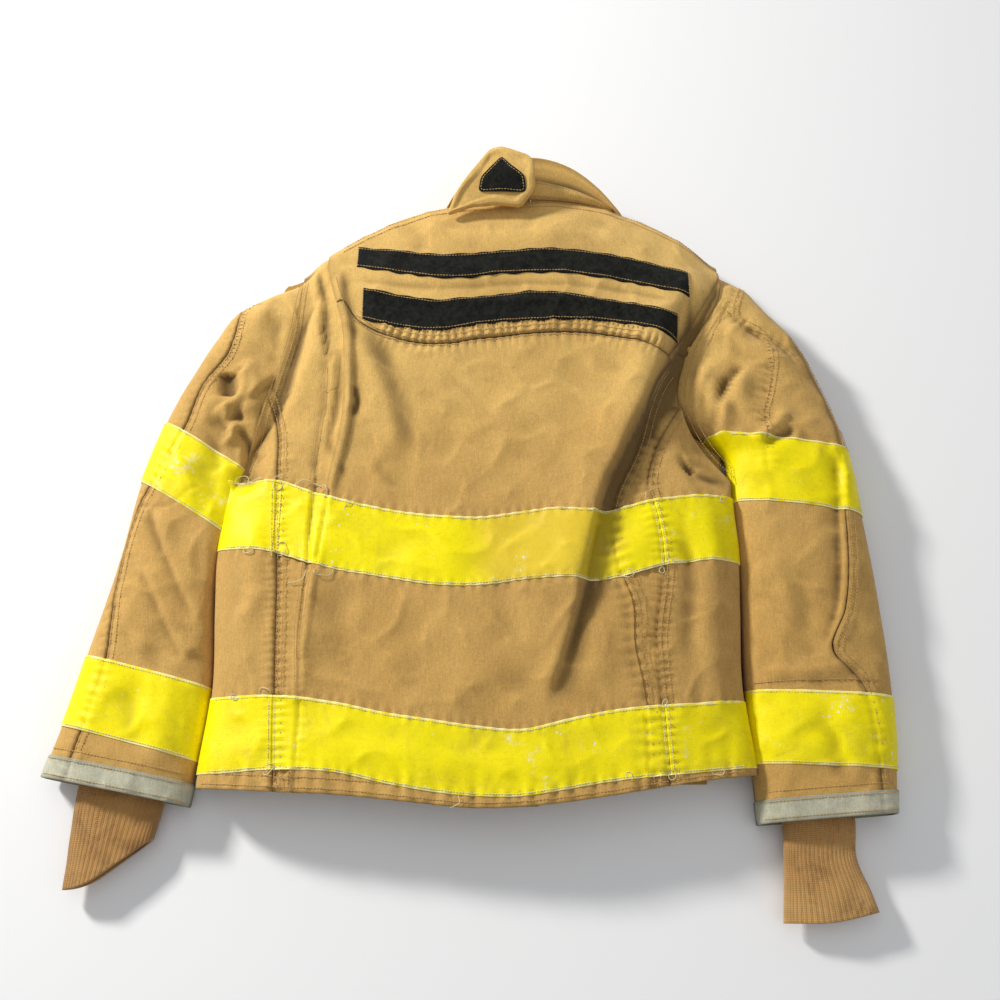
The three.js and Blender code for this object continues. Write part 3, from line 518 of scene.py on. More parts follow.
def torso_rise(x, y):
    """How far folds, seams and slack lift the back of the coat."""
    rise = folds_at(x, y, torso_folds) + creases_at(x, y, torso_creases) + seams_at(x, y, torso_seams)
    rise = rise + 1.6 * wander(x, y, 115, 21) + 0.7 * wander(x, y, 38, 22)
    ridged = (1 - np.abs(wander(x, y, 60, 23))) ** 3 * (1 - np.abs(wander(x, y, 90, 24))) ** 2
    rise = rise + 2.2 * ridged
    near_hem = np.exp(-(((y - hem_edge(x)) / 26.0) ** 2))
    rise = rise + near_hem * 0.9 * np.sin(x / 3.1 + 2.0 * wander(x, x * 0, 60, 5))
    for edge in (chest_top, chest_low, hem_top, hem_low):
        near = np.exp(-(((y - edge(x)) / 6.0) ** 2))
        rise = rise + near * 0.7 * np.sin(x / 1.9 + 3.0 * wander(x, x * 0, 50, 9))
    return rise


def torso_at(t, y, lift=0.0):
    """A point of the torso skin: t runs round it, 0 mid back, -1 and 1 its sides, 2 the front."""
    t, y = np.broadcast_arrays(np.asarray(t, float), np.asarray(y, float))
    left, right = torso_left(y), torso_right(y)
    centre, half = (left + right) / 2, (right - left) / 2
    sine = np.sin(math.pi * t / 2)
    share = np.minimum(np.abs(sine), 1.0)
    x = centre + (half + lift) * sine
    drop = np.clip((y - shoulder_line(x) + 95) / 95, 0, 1.1) ** 2
    crown = CROWN * (1 - 0.42 * drop) + lift
    top = MIDDLE_Z + crown * arch(share, TORSO_TOP_POWER)
    low = MIDDLE_Z - (MIDDLE_Z - FLOOR_SIDE_Z) * (1 - 0.3 * np.minimum(drop, 1)) * arch(share,
        TORSO_LOW_POWER)
    low = low - lift * arch(share, TORSO_LOW_POWER)
    upper = top + torso_rise(x, y) * np.clip((1 - share) / 0.10, 0, 1)
    for arm, path in ((LEFT_ARM, left_armhole), (RIGHT_ARM, right_armhole)):
        away = np.abs(to_path(x, y, path)[0])
        near = np.exp(-((away / 24.0) ** 2)) * step(-10, 20, y)
        upper = mix(upper, arm_height(arm, x, y) + lift + 1.0, near)
    over = np.maximum(y - shoulder_line(x) + ROLL_INSET, 0)
    turned = np.minimum(over / ROLL_RADIUS, math.pi * 0.62)
    back = np.abs(t) <= 1
    low = mix(low, 33.0 - lift, step(-34, 2, y - shoulder_line(x)))
    z = np.where(back, upper - (ROLL_RADIUS + lift) * (1 - np.cos(turned)), low)
    y = np.where(back, y - over + (ROLL_RADIUS + lift) * np.sin(turned), y)
    return np.stack([x, y, z], -1)


def torso_t(x, y):
    left, right = torso_left(y), torso_right(y)
    k = np.clip((x - (left + right) / 2) / ((right - left) / 2), -0.999, 0.999)
    return (2 / math.pi) * np.arcsin(k)


def path_x(path):
    """x as a function of y along a path that runs down the coat."""
    return spline([(p[1], p[0]) for p in path])


# ---------------------------------------------------------------- meshes
def new_object(name, data):
    made = bpy.data.objects.new(name, data)
    bpy.context.collection.objects.link(made)
    return made


def make_mesh(name, points, faces, material, uv=None):
    mesh = bpy.data.meshes.new(name)
    mesh.from_pydata(shift(points).tolist(), [], faces)
    mesh.polygons.foreach_set("use_smooth", [True] * len(mesh.polygons))
    if uv is not None:
        layer = mesh.uv_layers.new(name="cloth")
        flat = np.array([i for face in faces for i in face])
        layer.data.foreach_set("uv", uv[flat].ravel())
    mesh.materials.append(material)
    mesh.update()
    return new_object(name, mesh)


def edge_steps(count, length, turn):
    """Even steps from 0 to 1 with extra ones beside both ends, where a cut edge turns over."""
    near = np.array([0.0, 0.25, 0.6, 1.0]) * turn / length
    inner = np.linspace(near[-1], 1 - near[-1], max(count - 6, 2))
    return np.concatenate([near[:-1], inner, 1 - near[:-1][::-1]])


def sunken(height, spacing, reach):
    """How far each point of a height grid lies below its surroundings, in millimetres."""
    mean = height
    for axis, gap in enumerate(spacing):
        count = max(int(reach / gap), 1)
        wide = np.pad(mean, [(count + 1, count) if a == axis else (0, 0) for a in (0, 1)], mode="edge")
        run = np.cumsum(wide, axis=axis)
        span = 2 * count + 1
        mean = (run[span:] - run[:-span]) / span if axis == 0 else (run[:, span:] - run[:, :-span]) / span
    return mean - height


RIM_WIDTH = 3.2


def cloth_piece(name, place, nu, nv, size, material, thick=2.4, turn=2.6, drop=1.1, shaded=None):
    """A closed piece of cloth: place(u, v, lift) gives its skin, and its edges turn down."""
    us = edge_steps(nu, size[0], turn)
    vs = edge_steps(nv, size[1], turn)
    u, v = np.meshgrid(us, vs, indexing="ij")
    to_u = np.minimum(u, 1 - u) * size[0]
    to_v = np.minimum(v, 1 - v) * size[1]
    near = np.clip(np.minimum(to_u, to_v) / turn, 0, 1)
    sink = drop * (1 - np.sqrt(1 - (1 - near) ** 2))
    top = place(u, v, thick - sink)
    under = place(u, v, 0.15 * sink)
    rows, cols = u.shape
    points = np.concatenate([top.reshape(-1, 3), under.reshape(-1, 3)])
    uv = np.stack([u.ravel() * size[0], v.ravel() * size[1]], -1) / 1000
    uv = np.concatenate([uv, uv])
    count = rows * cols
    index = np.arange(count).reshape(rows, cols)
    a, b, c, d = index[:-1, :-1], index[1:, :-1], index[1:, 1:], index[:-1, 1:]
    quads = np.stack([a, b, c, d], -1).reshape(-1, 4)
    faces = quads.tolist() + (quads[:, ::-1] + count).tolist()
    ring = list(index[:, 0]) + list(index[-1, 1:]) + list(index[-2::-1, -1]) + list(index[0, -2:0:-1])
    for p, q in zip(ring, ring[1:] + ring[:1]):
        faces.append([int(q), int(p), int(p) + count, int(q) + count])
    piece = make_mesh(name, points, faces, material, uv)
    to_edge = to_v if material is TRIM else np.minimum(to_u, to_v)
    rim = np.exp(-((to_edge / RIM_WIDTH) ** 2)).ravel()
    # Painted shade: points lying below their surroundings get a darkening value for the material, and
    # shaded() adds more painted shade from the caller.
    spacing = (size[0] / nu, size[1] / nv)
    small, wide = (np.clip(sunken(top[..., 2], spacing, reach) / full, 0, 1) for reach,
        full in ((7, 2.2), (24, 8)))
    painted_hollow_shade = small * 0.6 + wide * 0.7
    if shaded is not None:
        painted_hollow_shade = painted_hollow_shade + shaded(u, v, top)
    painted_hollow_shade = np.clip(painted_hollow_shade, 0, 1).ravel()
    for label, value in (("rim", rim), ("painted_hollow_shade", painted_hollow_shade)):
        held = piece.data.attributes.new(label, "FLOAT", "POINT")
        held.data.foreach_set("value", np.concatenate([value, value]).astype(np.float32))
    face_outwards(piece)
    return piece


def face_outwards(piece):
    """Turns the whole piece the right way if its volume comes out negative."""
    mesh = piece.data
    mesh.calc_loop_triangles()
    co = np.zeros(len(mesh.vertices) * 3)
    mesh.vertices.foreach_get("co", co)
    co = co.reshape(-1, 3)
    tri = np.zeros(len(mesh.loop_triangles) * 3, int)
    mesh.loop_triangles.foreach_get("vertices", tri)
    a, b, c = co[tri[0::3]], co[tri[1::3]], co[tri[2::3]]
    if np.einsum("ij,ij->i", a, np.cross(b, c)).sum() < 0:
        mesh.flip_normals()


def torso_region(x_from, x_to, y_low, y_high, lifted=0.0):
    """place() for a back piece between two edges across and two along the coat."""

    def place(u, v, lift):
        lift = lift + lifted
        x = np.zeros_like(u)
        for _ in range(6):
            y = mix(y_low(x), y_high(x), v)
            x = mix(x_from(y), x_to(y), u)
        return torso_at(torso_t(x, y), y, lift)

    return place


def torso_wrap(seam_x, end_t, y_low, y_high, lifted=0.0):
    """place() for a piece that starts at a seam on the back and goes round the side."""

    def place(u, v, lift):
        lift = lift + lifted
        x = np.zeros_like(u) + (-200 if end_t < 0 else 200)
        t = np.zeros_like(u) + np.sign(end_t)
        for _ in range(5):
            y = mix(y_low(x) + 5 * step(0.96, 1.1, np.abs(t)), y_high(x, t), v)
            t = mix(torso_t(seam_x(y), y), end_t, u)
            x = torso_at(t, y)[..., 0]
        return torso_at(t, y, lift)

    return place


def level(value):
    return lambda x: np.full_like(np.asarray(x, float), value)


# ---------------------------------------------------------------- node helpers
class Tree:
    """A short way to write a node tree: values and links by socket name or number."""

    def __init__(self, tree):
        self.tree = tree

    def link(self, value, socket):
        self.tree.links.new(value, socket)

    def node(self, kind, inputs=None, **settings):
        made = self.tree.nodes.new(kind)
        for key, value in settings.items():
            setattr(made, key, value)
        for key, value in (inputs or {}).items():
            if isinstance(value, bpy.types.NodeSocket):
                self.link(value, made.inputs[key])
            else:
                made.inputs[key].default_value = value
        return made

    def math(self, kind, a, b=0.0, c=0.0):
        return self.node("ShaderNodeMath", {0: a, 1: b, 2: c}, operation=kind).outputs[0]

    def noise(self, where, scale, detail=3.0, rough=0.55, distort=0.0):
        inputs = {"Vector": where, "Scale": scale, "Detail": detail, "Roughness": rough,
            "Distortion": distort}
        return self.node("ShaderNodeTexNoise", inputs).outputs["Fac"]

    def ramp(self, value, low, high):
        inputs = {"Value": value, "From Min": low, "From Max": high}
        return self.node("ShaderNodeMapRange", inputs, interpolation_type="SMOOTHSTEP").outputs["Result"]

    def blend(self, k, a, b, kind="MIX"):
        settings = {"data_type": "RGBA", "blend_type": kind, "clamp_factor": True}
        return self.node("ShaderNodeMix", {0: k, 6: a, 7: b}, **settings).outputs[2]

    def cover(self, shade, mask, share, over):
        """The shade with another laid over it where the mask says, by a share."""
        return self.blend(self.math("MULTIPLY", mask, share), shade, over)

    def toned(self, shade, tone):
        """The shade made lighter or darker by a grey."""
        grey = self.node("ShaderNodeCombineColor", {0: tone, 1: tone, 2: tone}).outputs[0]
        return self.blend(1.0, shade, grey, "MULTIPLY")

    def attribute(self, name):
        return self.node("ShaderNodeAttribute", attribute_name=name).outputs["Fac"]

    def apart(self, vector):
        return self.node("ShaderNodeSeparateXYZ", {0: vector}).outputs

    def group(self, tree, inputs=None):
        return self.node("ShaderNodeGroup", inputs, node_tree=tree).outputs


def colour(red, green, blue):
    """Linear colour from the 0-255 values of a swatch."""
    line = [c / 255 for c in (red, green, blue)]
    return tuple(c / 12.92 if c < 0.04045 else ((c + 0.055) / 1.055) ** 2.4 for c in line) + (1.0,)


def scaled(shade, share):
    return tuple(min(1, c * share) for c in shade[:3]) + (1.0,)


def shader_group(name, inputs, outputs):
    tree = bpy.data.node_groups.new(name, "ShaderNodeTree")
    for label, kind, value in inputs:
        socket = tree.interface.new_socket(label, in_out="INPUT", socket_type=kind)
        if value is not None:
            socket.default_value = value
    for label, kind in outputs:
        tree.interface.new_socket(label, in_out="OUTPUT", socket_type=kind)
    made = Tree(tree)
    return made, made.node("NodeGroupInput").outputs, made.node("NodeGroupOutput").inputs


def weave_group():
    """Rib-weave duck: crossed yarns, height out and a shade for each yarn."""
    t, given, out = shader_group(
        "weave",
        [("Vector", "NodeSocketVector", None), ("Yarns", "NodeSocketFloat", 900.0)],
        [("Height", "NodeSocketFloat"), ("Shade", "NodeSocketFloat")],
    )
    apart = t.apart(given["Vector"])
    slub = t.noise(given["Vector"], 260.0, 2.0)
    bent = [t.math("MULTIPLY_ADD", slub, 0.0009, apart[i]) for i in (0, 1)]
    turns = [t.math("MULTIPLY", t.math("MULTIPLY", b, given["Yarns"]), math.pi) for b in bent]
    warp = t.math("ABSOLUTE", t.math("SINE", turns[0]))
    weft = t.math("ABSOLUTE", t.math("SINE", turns[1]))
    check = t.math("MULTIPLY", t.math("SINE", turns[0]), t.math("SINE", turns[1]))
    over = t.ramp(check, -0.4, 0.4)
    height = t.math("ADD", t.math("MULTIPLY", warp, over),
        t.math("MULTIPLY", weft, t.math("SUBTRACT", 1.0, over)))
    t.link(height, out["Height"])
    t.link(t.math("MULTIPLY_ADD", height, 0.5, t.math("MULTIPLY", slub, 0.5)), out["Shade"])
    return t.tree


def wear_group():
    """Old cloth: cloudy fading, sunk grime, pale rubbed flecks, each as a mask from 0 to 1."""
    t, given, out = shader_group(
        "wear",
        [("Vector", "NodeSocketVector", None), ("Size", "NodeSocketFloat", 1.0)],
        [("Cloud", "NodeSocketFloat"), ("Grime", "NodeSocketFloat"), ("Rub", "NodeSocketFloat"),
        ("Fleck", "NodeSocketFloat")],
    )
    where = t.node("ShaderNodeVectorMath", {0: given["Vector"], "Scale": given["Size"]},
        operation="SCALE").outputs[0]
    cloud = t.noise(where, 5.0, 5.0, 0.6, 0.6)
    t.link(t.ramp(cloud, 0.36, 0.66), out["Cloud"])
    grime = t.math("MULTIPLY", t.ramp(t.noise(where, 14.0, 6.0, 0.68, 0.9), 0.47, 0.72),
        t.noise(where, 60.0, 3.0))
    t.link(t.math("MULTIPLY", grime, 1.7), out["Grime"])
    rub = t.ramp(t.noise(where, 34.0, 8.0, 0.75, 0.3), 0.56, 0.76)
    t.link(rub, out["Rub"])
    cells = t.node("ShaderNodeTexVoronoi",
        {"Vector": where, "Scale": 150.0, "Randomness": 1.0}).outputs["Distance"]
    chosen = t.ramp(t.noise(where, 26.0, 4.0, 0.6), 0.60, 0.66)
    t.link(t.math("MULTIPLY", t.ramp(cells, 0.30, 0.16), chosen), out["Fleck"])
    return t.tree


WEAVE, WEAR = weave_group(), wear_group()


def start_material(name, roughness=0.85, sheen=0.0, metallic=0.0, specular=0.3):
    material = bpy.data.materials.new(name)
    material.use_nodes = True
    t = Tree(material.node_tree)
    shader = next(n for n in t.tree.nodes if n.type == "BSDF_PRINCIPLED")
    for label, value in (
        ("Roughness", roughness), ("Metallic", metallic), ("Specular IOR Level", specular),
        ("Sheen Weight", sheen),
        ("Sheen Roughness", 0.5),
    ):
        shader.inputs[label].default_value = value
    places = t.node("ShaderNodeTexCoord").outputs
    return material, t, shader, places


def bump(t, shader, height, depth, strength=1.0, under=None):
    inputs = {"Height": height, "Distance": depth, "Strength": strength}
    if under is not None:
        inputs["Normal"] = under
    made = t.node("ShaderNodeBump", inputs).outputs["Normal"]
    t.link(made, shader.inputs["Normal"])
    return made


def cloth_material(name, light, dark, grime_and_shade, yarns=900.0, gold=None, sheen=0.12, relief=0.00022, depth=1.0):
    """Woven cloth. Gold is a warmer shade for the part of the coat nearest the collar."""
    material, t, shader, places = start_material(name, 0.9, sheen, 0.0, 0.22)
    wear = t.group(WEAR, {"Vector": places["Object"]})
    weave = t.group(WEAVE, {"Vector": places["UV"], "Yarns": yarns})
    base = light
    if gold is not None:
        apart = t.apart(places["Object"])
        cloudy = t.math("MULTIPLY_ADD", wear["Cloud"], 0.22, apart[1])
        upper = t.ramp(cloudy, 0.06, 0.30)
        away = t.math("ABSOLUTE", t.math("SUBTRACT", apart[0], 0.03))
        upper = t.math("MULTIPLY", upper, t.ramp(away, 0.40, 0.20))
        base = t.blend(upper, light, gold)
    shade = t.cover(base, wear["Cloud"], 0.42, dark)
    shade = t.cover(shade, wear["Grime"], 0.26 * depth, grime_and_shade)
    shade = t.cover(shade, wear["Rub"], 0.22 * depth, scaled(light, 1.5))
    rim = t.attribute("rim")
    shade = t.cover(shade, rim, 0.45, scaled(dark, 0.45))
    # Painted shade: the grime colour, darkened, laid into hollows and creases.
    painted_hollow_shade = t.attribute("painted_hollow_shade")
    shade = t.cover(shade, painted_hollow_shade, 0.80, scaled(grime_and_shade, 0.32))
    slub = t.noise(places["Object"], 620.0, 2.0, 0.7)
    drawn = t.node("ShaderNodeVectorMath", {0: places["Object"], 1: (900.0, 90.0, 300.0)},
        operation="MULTIPLY")
    streak = t.noise(drawn.outputs[0], 1.0, 2.0)
    fine = t.math("MULTIPLY_ADD", slub, 0.62, t.math("MULTIPLY", streak, 0.40))
    tone = t.math("ADD", t.math("MULTIPLY_ADD", weave["Shade"], 0.30, 0.33), fine)
    t.link(t.toned(shade, tone), shader.inputs["Base Color"])
    coarse = t.noise(places["Object"], 120.0, 6.0, 0.72)
    under = bump(t, shader, coarse, 0.0011, 0.55 * depth)
    bump(t, shader, weave["Height"], relief, 0.8, under)
    return material


def trim_material():
    """Woven high-visibility trim: lemon, washed out and scuffed in random patches, with a soft painted
    shadow over part of the chest band.
    """
    material, t, shader, places = start_material("reflective_trim", 0.5, 0.0, 0.0, 0.18)
    apart = t.apart(places["Object"])
    wear = t.group(WEAR, {"Vector": places["Object"], "Size": 1.15})
    weave = t.group(WEAVE, {"Vector": places["UV"], "Yarns": 620.0})
    lemon, shadowed_lemon = colour(250, 234, 0), colour(228, 192, 62)
    # Painted shadow: a soft patch over part of the chest band, where the lemon turns a duller gold.
    cloudy = t.math("MULTIPLY_ADD", wear["Cloud"], 0.05, apart[0])
    painted_band_shadow = t.math("MULTIPLY", t.ramp(cloudy, -0.02, 0.06), t.ramp(cloudy, 0.215, 0.15))
    high = t.ramp(apart[1], -0.12, -0.09)
    painted_band_shadow = t.math("MULTIPLY", painted_band_shadow, high)
    shade = t.cover(lemon, painted_band_shadow, 0.85, shadowed_lemon)
    shade = t.cover(shade, wear["Cloud"], 0.28, colour(240, 218, 20))
    shade = t.cover(shade, wear["Grime"], 0.34, colour(150, 132, 60))
    scuff = t.ramp(t.noise(places["Object"], 30.0, 9.0, 0.8, 0.4), 0.57, 0.70)
    where = t.ramp(t.noise(places["Object"], 7.0, 2.0), 0.46, 0.62)
    scuffed = t.math("MULTIPLY", scuff, where)
    shade = t.cover(shade, scuffed, 0.75, colour(240, 236, 205))
    shade = t.cover(shade, wear["Fleck"], 0.8, colour(238, 236, 226))
    speck = t.ramp(t.noise(places["Object"], 210.0, 5.0, 0.75), 0.50, 0.68)
    shade = t.cover(shade, speck, 0.30, colour(222, 176, 6))
    # Painted shade: dark olive laid into hollows and creases of the trim.
    painted_hollow_shade = t.attribute("painted_hollow_shade")
    shade = t.cover(shade, painted_hollow_shade, 0.62, colour(112, 88, 4))
    rim = t.attribute("rim")
    frayed = t.math("MULTIPLY", t.ramp(rim, 0.70, 0.95),
        t.ramp(t.noise(places["Object"], 90.0, 3.0), 0.36, 0.54))
    shade = t.cover(shade, frayed, 0.85, colour(246, 238, 186))
    tone = t.math("MULTIPLY_ADD", weave["Shade"], 0.22, 0.88)
    t.link(t.toned(shade, tone), shader.inputs["Base Color"])
    t.link(t.math("MULTIPLY_ADD", scuffed, 0.3, 0.42), shader.inputs["Roughness"])
    coarse = t.noise(places["Object"], 70.0, 4.0, 0.6)
    under = bump(t, shader, coarse, 0.0009, 0.5)
    bump(t, shader, weave["Height"], 0.00016, 0.6, under)
    return material


def hook_material():
    """Hook-and-loop tape: a matted dark pile that catches pale fluff."""
    material, t, shader, places = start_material("hook_and_loop", 0.96, 0.06, 0.0, 0.08)
    pile = t.noise(places["Object"], 900.0, 4.0, 0.7)
    mats = t.noise(places["Object"], 130.0, 5.0, 0.7, 0.8)
    fluff = t.ramp(t.noise(places["Object"], 48.0, 9.0, 0.85, 1.2), 0.60, 0.74)
    shade = t.blend(t.ramp(mats, 0.3, 0.7), colour(16, 17, 16), colour(40, 40, 35))
    shade = t.cover(shade, fluff, 0.5, colour(66, 65, 56))
    t.link(shade, shader.inputs["Base Color"])
    under = bump(t, shader, mats, 0.0016, 0.9)
    bump(t, shader, pile, 0.0008, 1.0, under)
    return material


def knit_material():
    material, t, shader, places = start_material("rib_knit", 0.95, 0.25, 0.0, 0.2)
    apart = t.apart(places["UV"])
    stitch = t.math("ABSOLUTE", t.math("SINE", t.math("MULTIPLY", apart[1], 1500.0)))
    side = t.math("ABSOLUTE", t.math("SINE", t.math("MULTIPLY", apart[0], 2094.0)))
    loops = t.math("MULTIPLY", stitch, side)
    wear = t.group(WEAR, {"Vector": places["Object"], "Size": 1.6})
    shade = t.blend(wear["Cloud"], colour(212, 166, 102), colour(186, 138, 80))
    shade = t.cover(shade, wear["Grime"], 0.5, colour(84, 54, 34))
    tone = t.math("MULTIPLY_ADD", loops, 0.35, 0.75)
    t.link(t.toned(shade, tone), shader.inputs["Base Color"])
    bump(t, shader, t.math("ADD", loops, t.noise(places["Object"], 400.0)), 0.0005, 0.8)
    return material


def plain_material(name, shade, roughness=0.8, metallic=0.0, sheen=0.0, grain=300.0, relief=0.0003,
    specular=0.3):
    material, t, shader, places = start_material(name, roughness, sheen, metallic, specular)
    wear = t.group(WEAR, {"Vector": places["Object"], "Size": 2.0})
    mixed = t.cover(shade, wear["Grime"], 0.6, scaled(shade, 0.55))
    t.link(mixed, shader.inputs["Base Color"])
    bump(t, shader, t.noise(places["Object"], grain), relief, 0.7)
    return material


def thread_material(name, shade):
    material, t, shader, places = start_material(name, 0.55, 0.2, 0.0, 0.4)
    twist = t.node(
        "ShaderNodeTexWave", {"Vector": places["Object"], "Scale": 900.0, "Distortion": 2.0}
    ).outputs["Fac"]
    t.link(t.blend(twist, scaled(shade, 0.6), shade), shader.inputs["Base Color"])
    return material


# The third tan colours real grime, and darkened it also gives the painted shade in hollows and creases.
TAN, TAN_DARK, TAN_GRIME_AND_SHADE = colour(206, 164, 92), colour(180, 138, 72), colour(128, 96, 52)
SHELL = cloth_material("shell_cloth", TAN, TAN_DARK, TAN_GRIME_AND_SHADE, 850.0, colour(226, 186, 108))
TRIM = trim_material()
HOOK = hook_material()
KNIT = knit_material()
CUFF = cloth_material("cuff_cloth", colour(204, 201, 176), colour(158, 154, 132), colour(84, 78, 62), 900.0,
    None, 0.1)
LINER = cloth_material("quilted_liner", colour(214, 196, 150), colour(196, 176, 128), colour(150, 130, 92),
    1000.0)
BARRIER = plain_material("barrier_cloth", colour(222, 220, 210), 0.55, 0.0, 0.0, 120.0, 0.0002, 0.5)
TAPE = plain_material("zip_tape", colour(40, 38, 34), 0.9, 0.0, 0.2, 700.0, 0.0003)
BRASS = plain_material("zip_brass", colour(190, 150, 82), 0.34, 1.0, 0.0, 500.0, 0.00008, 0.5)
TAN_THREAD = thread_material("tan_thread", colour(208, 170, 106))
CREAM_THREAD = thread_material("cream_thread", colour(238, 230, 180))


# ---------------------------------------------------------------- stitches
def stitch_tree():
    """Polylines in, one small twisted stitch per pitch out."""
    tree = bpy.data.node_groups.new("stitches", "GeometryNodeTree")
    sockets = (
        ("Geometry", "NodeSocketGeometry", None),
        ("Pitch", "NodeSocketFloat", 0.0032),
        ("Stitch", "NodeSocketFloat", 0.0024),
        ("Radius", "NodeSocketFloat", 0.00042),
        ("Seed", "NodeSocketInt", 3),
        ("Thread", "NodeSocketMaterial", None),
    )
    for label, kind, value in sockets:
        socket = tree.interface.new_socket(label, in_out="INPUT", socket_type=kind)
        if value is not None:
            socket.default_value = value
    tree.interface.new_socket("Geometry", in_out="OUTPUT", socket_type="NodeSocketGeometry")
    t = Tree(tree)
    given = t.node("NodeGroupInput").outputs
    lines = t.node("GeometryNodeMeshToCurve", {"Mesh": given["Geometry"]}).outputs[0]
    points = t.node("GeometryNodeCurveToPoints", {"Curve": lines, "Length": given["Pitch"]},
        mode="LENGTH").outputs
    bead = t.node(
        "GeometryNodeMeshUVSphere", {"Segments": 6, "Rings": 5, "Radius": 1.0}
    ).outputs["Mesh"]
    half = t.math("MULTIPLY", given["Stitch"], 0.5)
    size = t.node("ShaderNodeCombineXYZ", {0: given["Radius"], 1: given["Radius"], 2: half}).outputs[0]
    shaped = t.node("GeometryNodeTransform", {"Geometry": bead, "Scale": size}).outputs[0]
    odd = t.node(
        "FunctionNodeRandomValue", {2: 0.8, 3: 1.2, "Seed": given["Seed"]}, data_type="FLOAT"
    ).outputs[1]
    tilt = t.node(
        "FunctionNodeRandomValue",
        {0: (-0.09, -0.09, 0.0), 1: (0.09, 0.09, 0.0), "Seed": given["Seed"]},
        data_type="FLOAT_VECTOR",
    ).outputs[0]
    turned = t.node("FunctionNodeRotateRotation", {0: points["Rotation"], 1: tilt},
        rotation_space="LOCAL").outputs[0]
    placed = t.node(
        "GeometryNodeInstanceOnPoints",
        {"Points": points["Points"], "Instance": shaped, "Rotation": turned, "Scale": odd},
    ).outputs[0]
    real = t.node("GeometryNodeRealizeInstances", {"Geometry": placed}).outputs[0]
    smooth = t.node("GeometryNodeSetShadeSmooth", {"Geometry": real}).outputs[0]
    done = t.node("GeometryNodeSetMaterial", {"Geometry": smooth, "Material": given["Thread"]}).outputs[0]
    tree.links.new(done, t.node("NodeGroupOutput").inputs[0])
    return tree


STITCHES = stitch_tree()


def stitched(name, lines, thread, pitch=3.4, length=2.7, radius=0.5, seed=3):
    """One object of stitches along many 3-D polylines, given in plan millimetres."""
    points, edges = [], []
    for line in lines:
        base = len(points)
        points += [tuple(p) for p in line]
        edges += [(base + i, base + i + 1) for i in range(len(line) - 1)]
    mesh = bpy.data.meshes.new(name)
    mesh.from_pydata(shift(points).tolist(), edges, [])
    piece = new_object(name, mesh)
    modifier = piece.modifiers.new("stitches", "NODES")
    modifier.node_group = STITCHES
    socket = {i.name: i.identifier for i in STITCHES.interface.items_tree if i.in_out == "INPUT"}
    for label, value in (("Pitch", pitch), ("Stitch", length), ("Radius", radius)):
        modifier[socket[label]] = value / 1000
    modifier[socket["Seed"]] = seed
    modifier[socket["Thread"]] = thread
    bpy.context.view_layer.update()
    made = bpy.data.meshes.new_from_object(piece.evaluated_get(bpy.context.evaluated_depsgraph_get()))
    piece.modifiers.clear()
    piece.data = made
    made.name = name
    return piece


def beside(path, offset, count=80):
    """A path moved sideways, to the left for a positive offset."""
    line = np.array(smooth_path(path, count))
    way = np.gradient(line, axis=0)
    way /= np.linalg.norm(way, axis=1)[:, None]
    return line + offset * np.stack([-way[:, 1], way[:, 0]], -1)


STITCH_LIFT = 2.9


def flat_torso(line, lift=STITCH_LIFT):
    return torso_at(torso_t(line[:, 0], line[:, 1]), line[:, 1], lift)


def on_torso(path, offset=0.0, lift=STITCH_LIFT, count=90):
    return flat_torso(beside(path, offset, count), lift)


def on_arm(arm, path, offset=0.0, lift=STITCH_LIFT, count=60):
    line = beside(path, offset, count)
    return arm.at(line[:, 0], arm.t_of(line[:, 0], line[:, 1]), lift)


def clipped(path, low, high):
    """The part of a down-the-coat path between two heights."""
    line = smooth_path(path, 60)
    return [p for p in line if max(low, hem_edge(p[0]) + 4) <= p[1] <= high]


# ---------------------------------------------------------------- the torso's pieces
CLOTH = 2.4  # thickness of the outer cloth
FINE = 2.5  # spacing of its points


def coat_piece(piece, *nodes, slot="shell_cloth", body="coat_body"):
    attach(piece, body)
    if nodes:
        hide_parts(*nodes)


def torso_piece(
    name, node, x_from, x_to, y_low, y_high, size, material=SHELL, slot="shell_cloth", thick=CLOTH,
    lifted=0.0,
    grid=FINE, **more
):
    """A piece on the coat's back, between two edges across it and two along it."""
    place = torso_region(x_from, x_to, y_low, y_high, lifted)
    count = (int(size[0] / grid) + 8, int(size[1] / grid) + 8)
    # Painted shade on the low side of the back's creases.
    more["shaded"] = lambda u, v, top: 0.85 * crease_shade(top[..., 0], top[..., 1], torso_creases)
    coat_piece(cloth_piece(name, place, *count, size, material, thick, **more), node, slot=slot)


right_pleat_x = path_x(right_pleat)
left_seam_x, right_seam_x = path_x(left_side_seam), path_x(right_side_seam)
left_hole_x, right_hole_x = path_x(left_armhole), path_x(right_armhole)
ridge_x = spline([(p[1], p[0]) for p in left_edge_fold] + [(-312, -200)])
yoke_low = spline([(-200, 200), (-172, 222), (-159, 203), (-135, 187), (-100, 175), (-66, 171), (-22, 178),
    (10, 182),
                   (44, 185), (85, 186), (111, 183), (150, 172), (190, 158), (215, 172), (240, 200),
                   (262, 222)])
OVER_SHOULDER = 22.0


SIDE_LAP = 5  # how far a side panel runs on under its neighbour
SEAM_GAP = 0.8


def yoke_right_x(y):
    return np.interp(y, [150, 162, 200, 239, 262, 300], [180, 188, 213, 237, 247, 251])


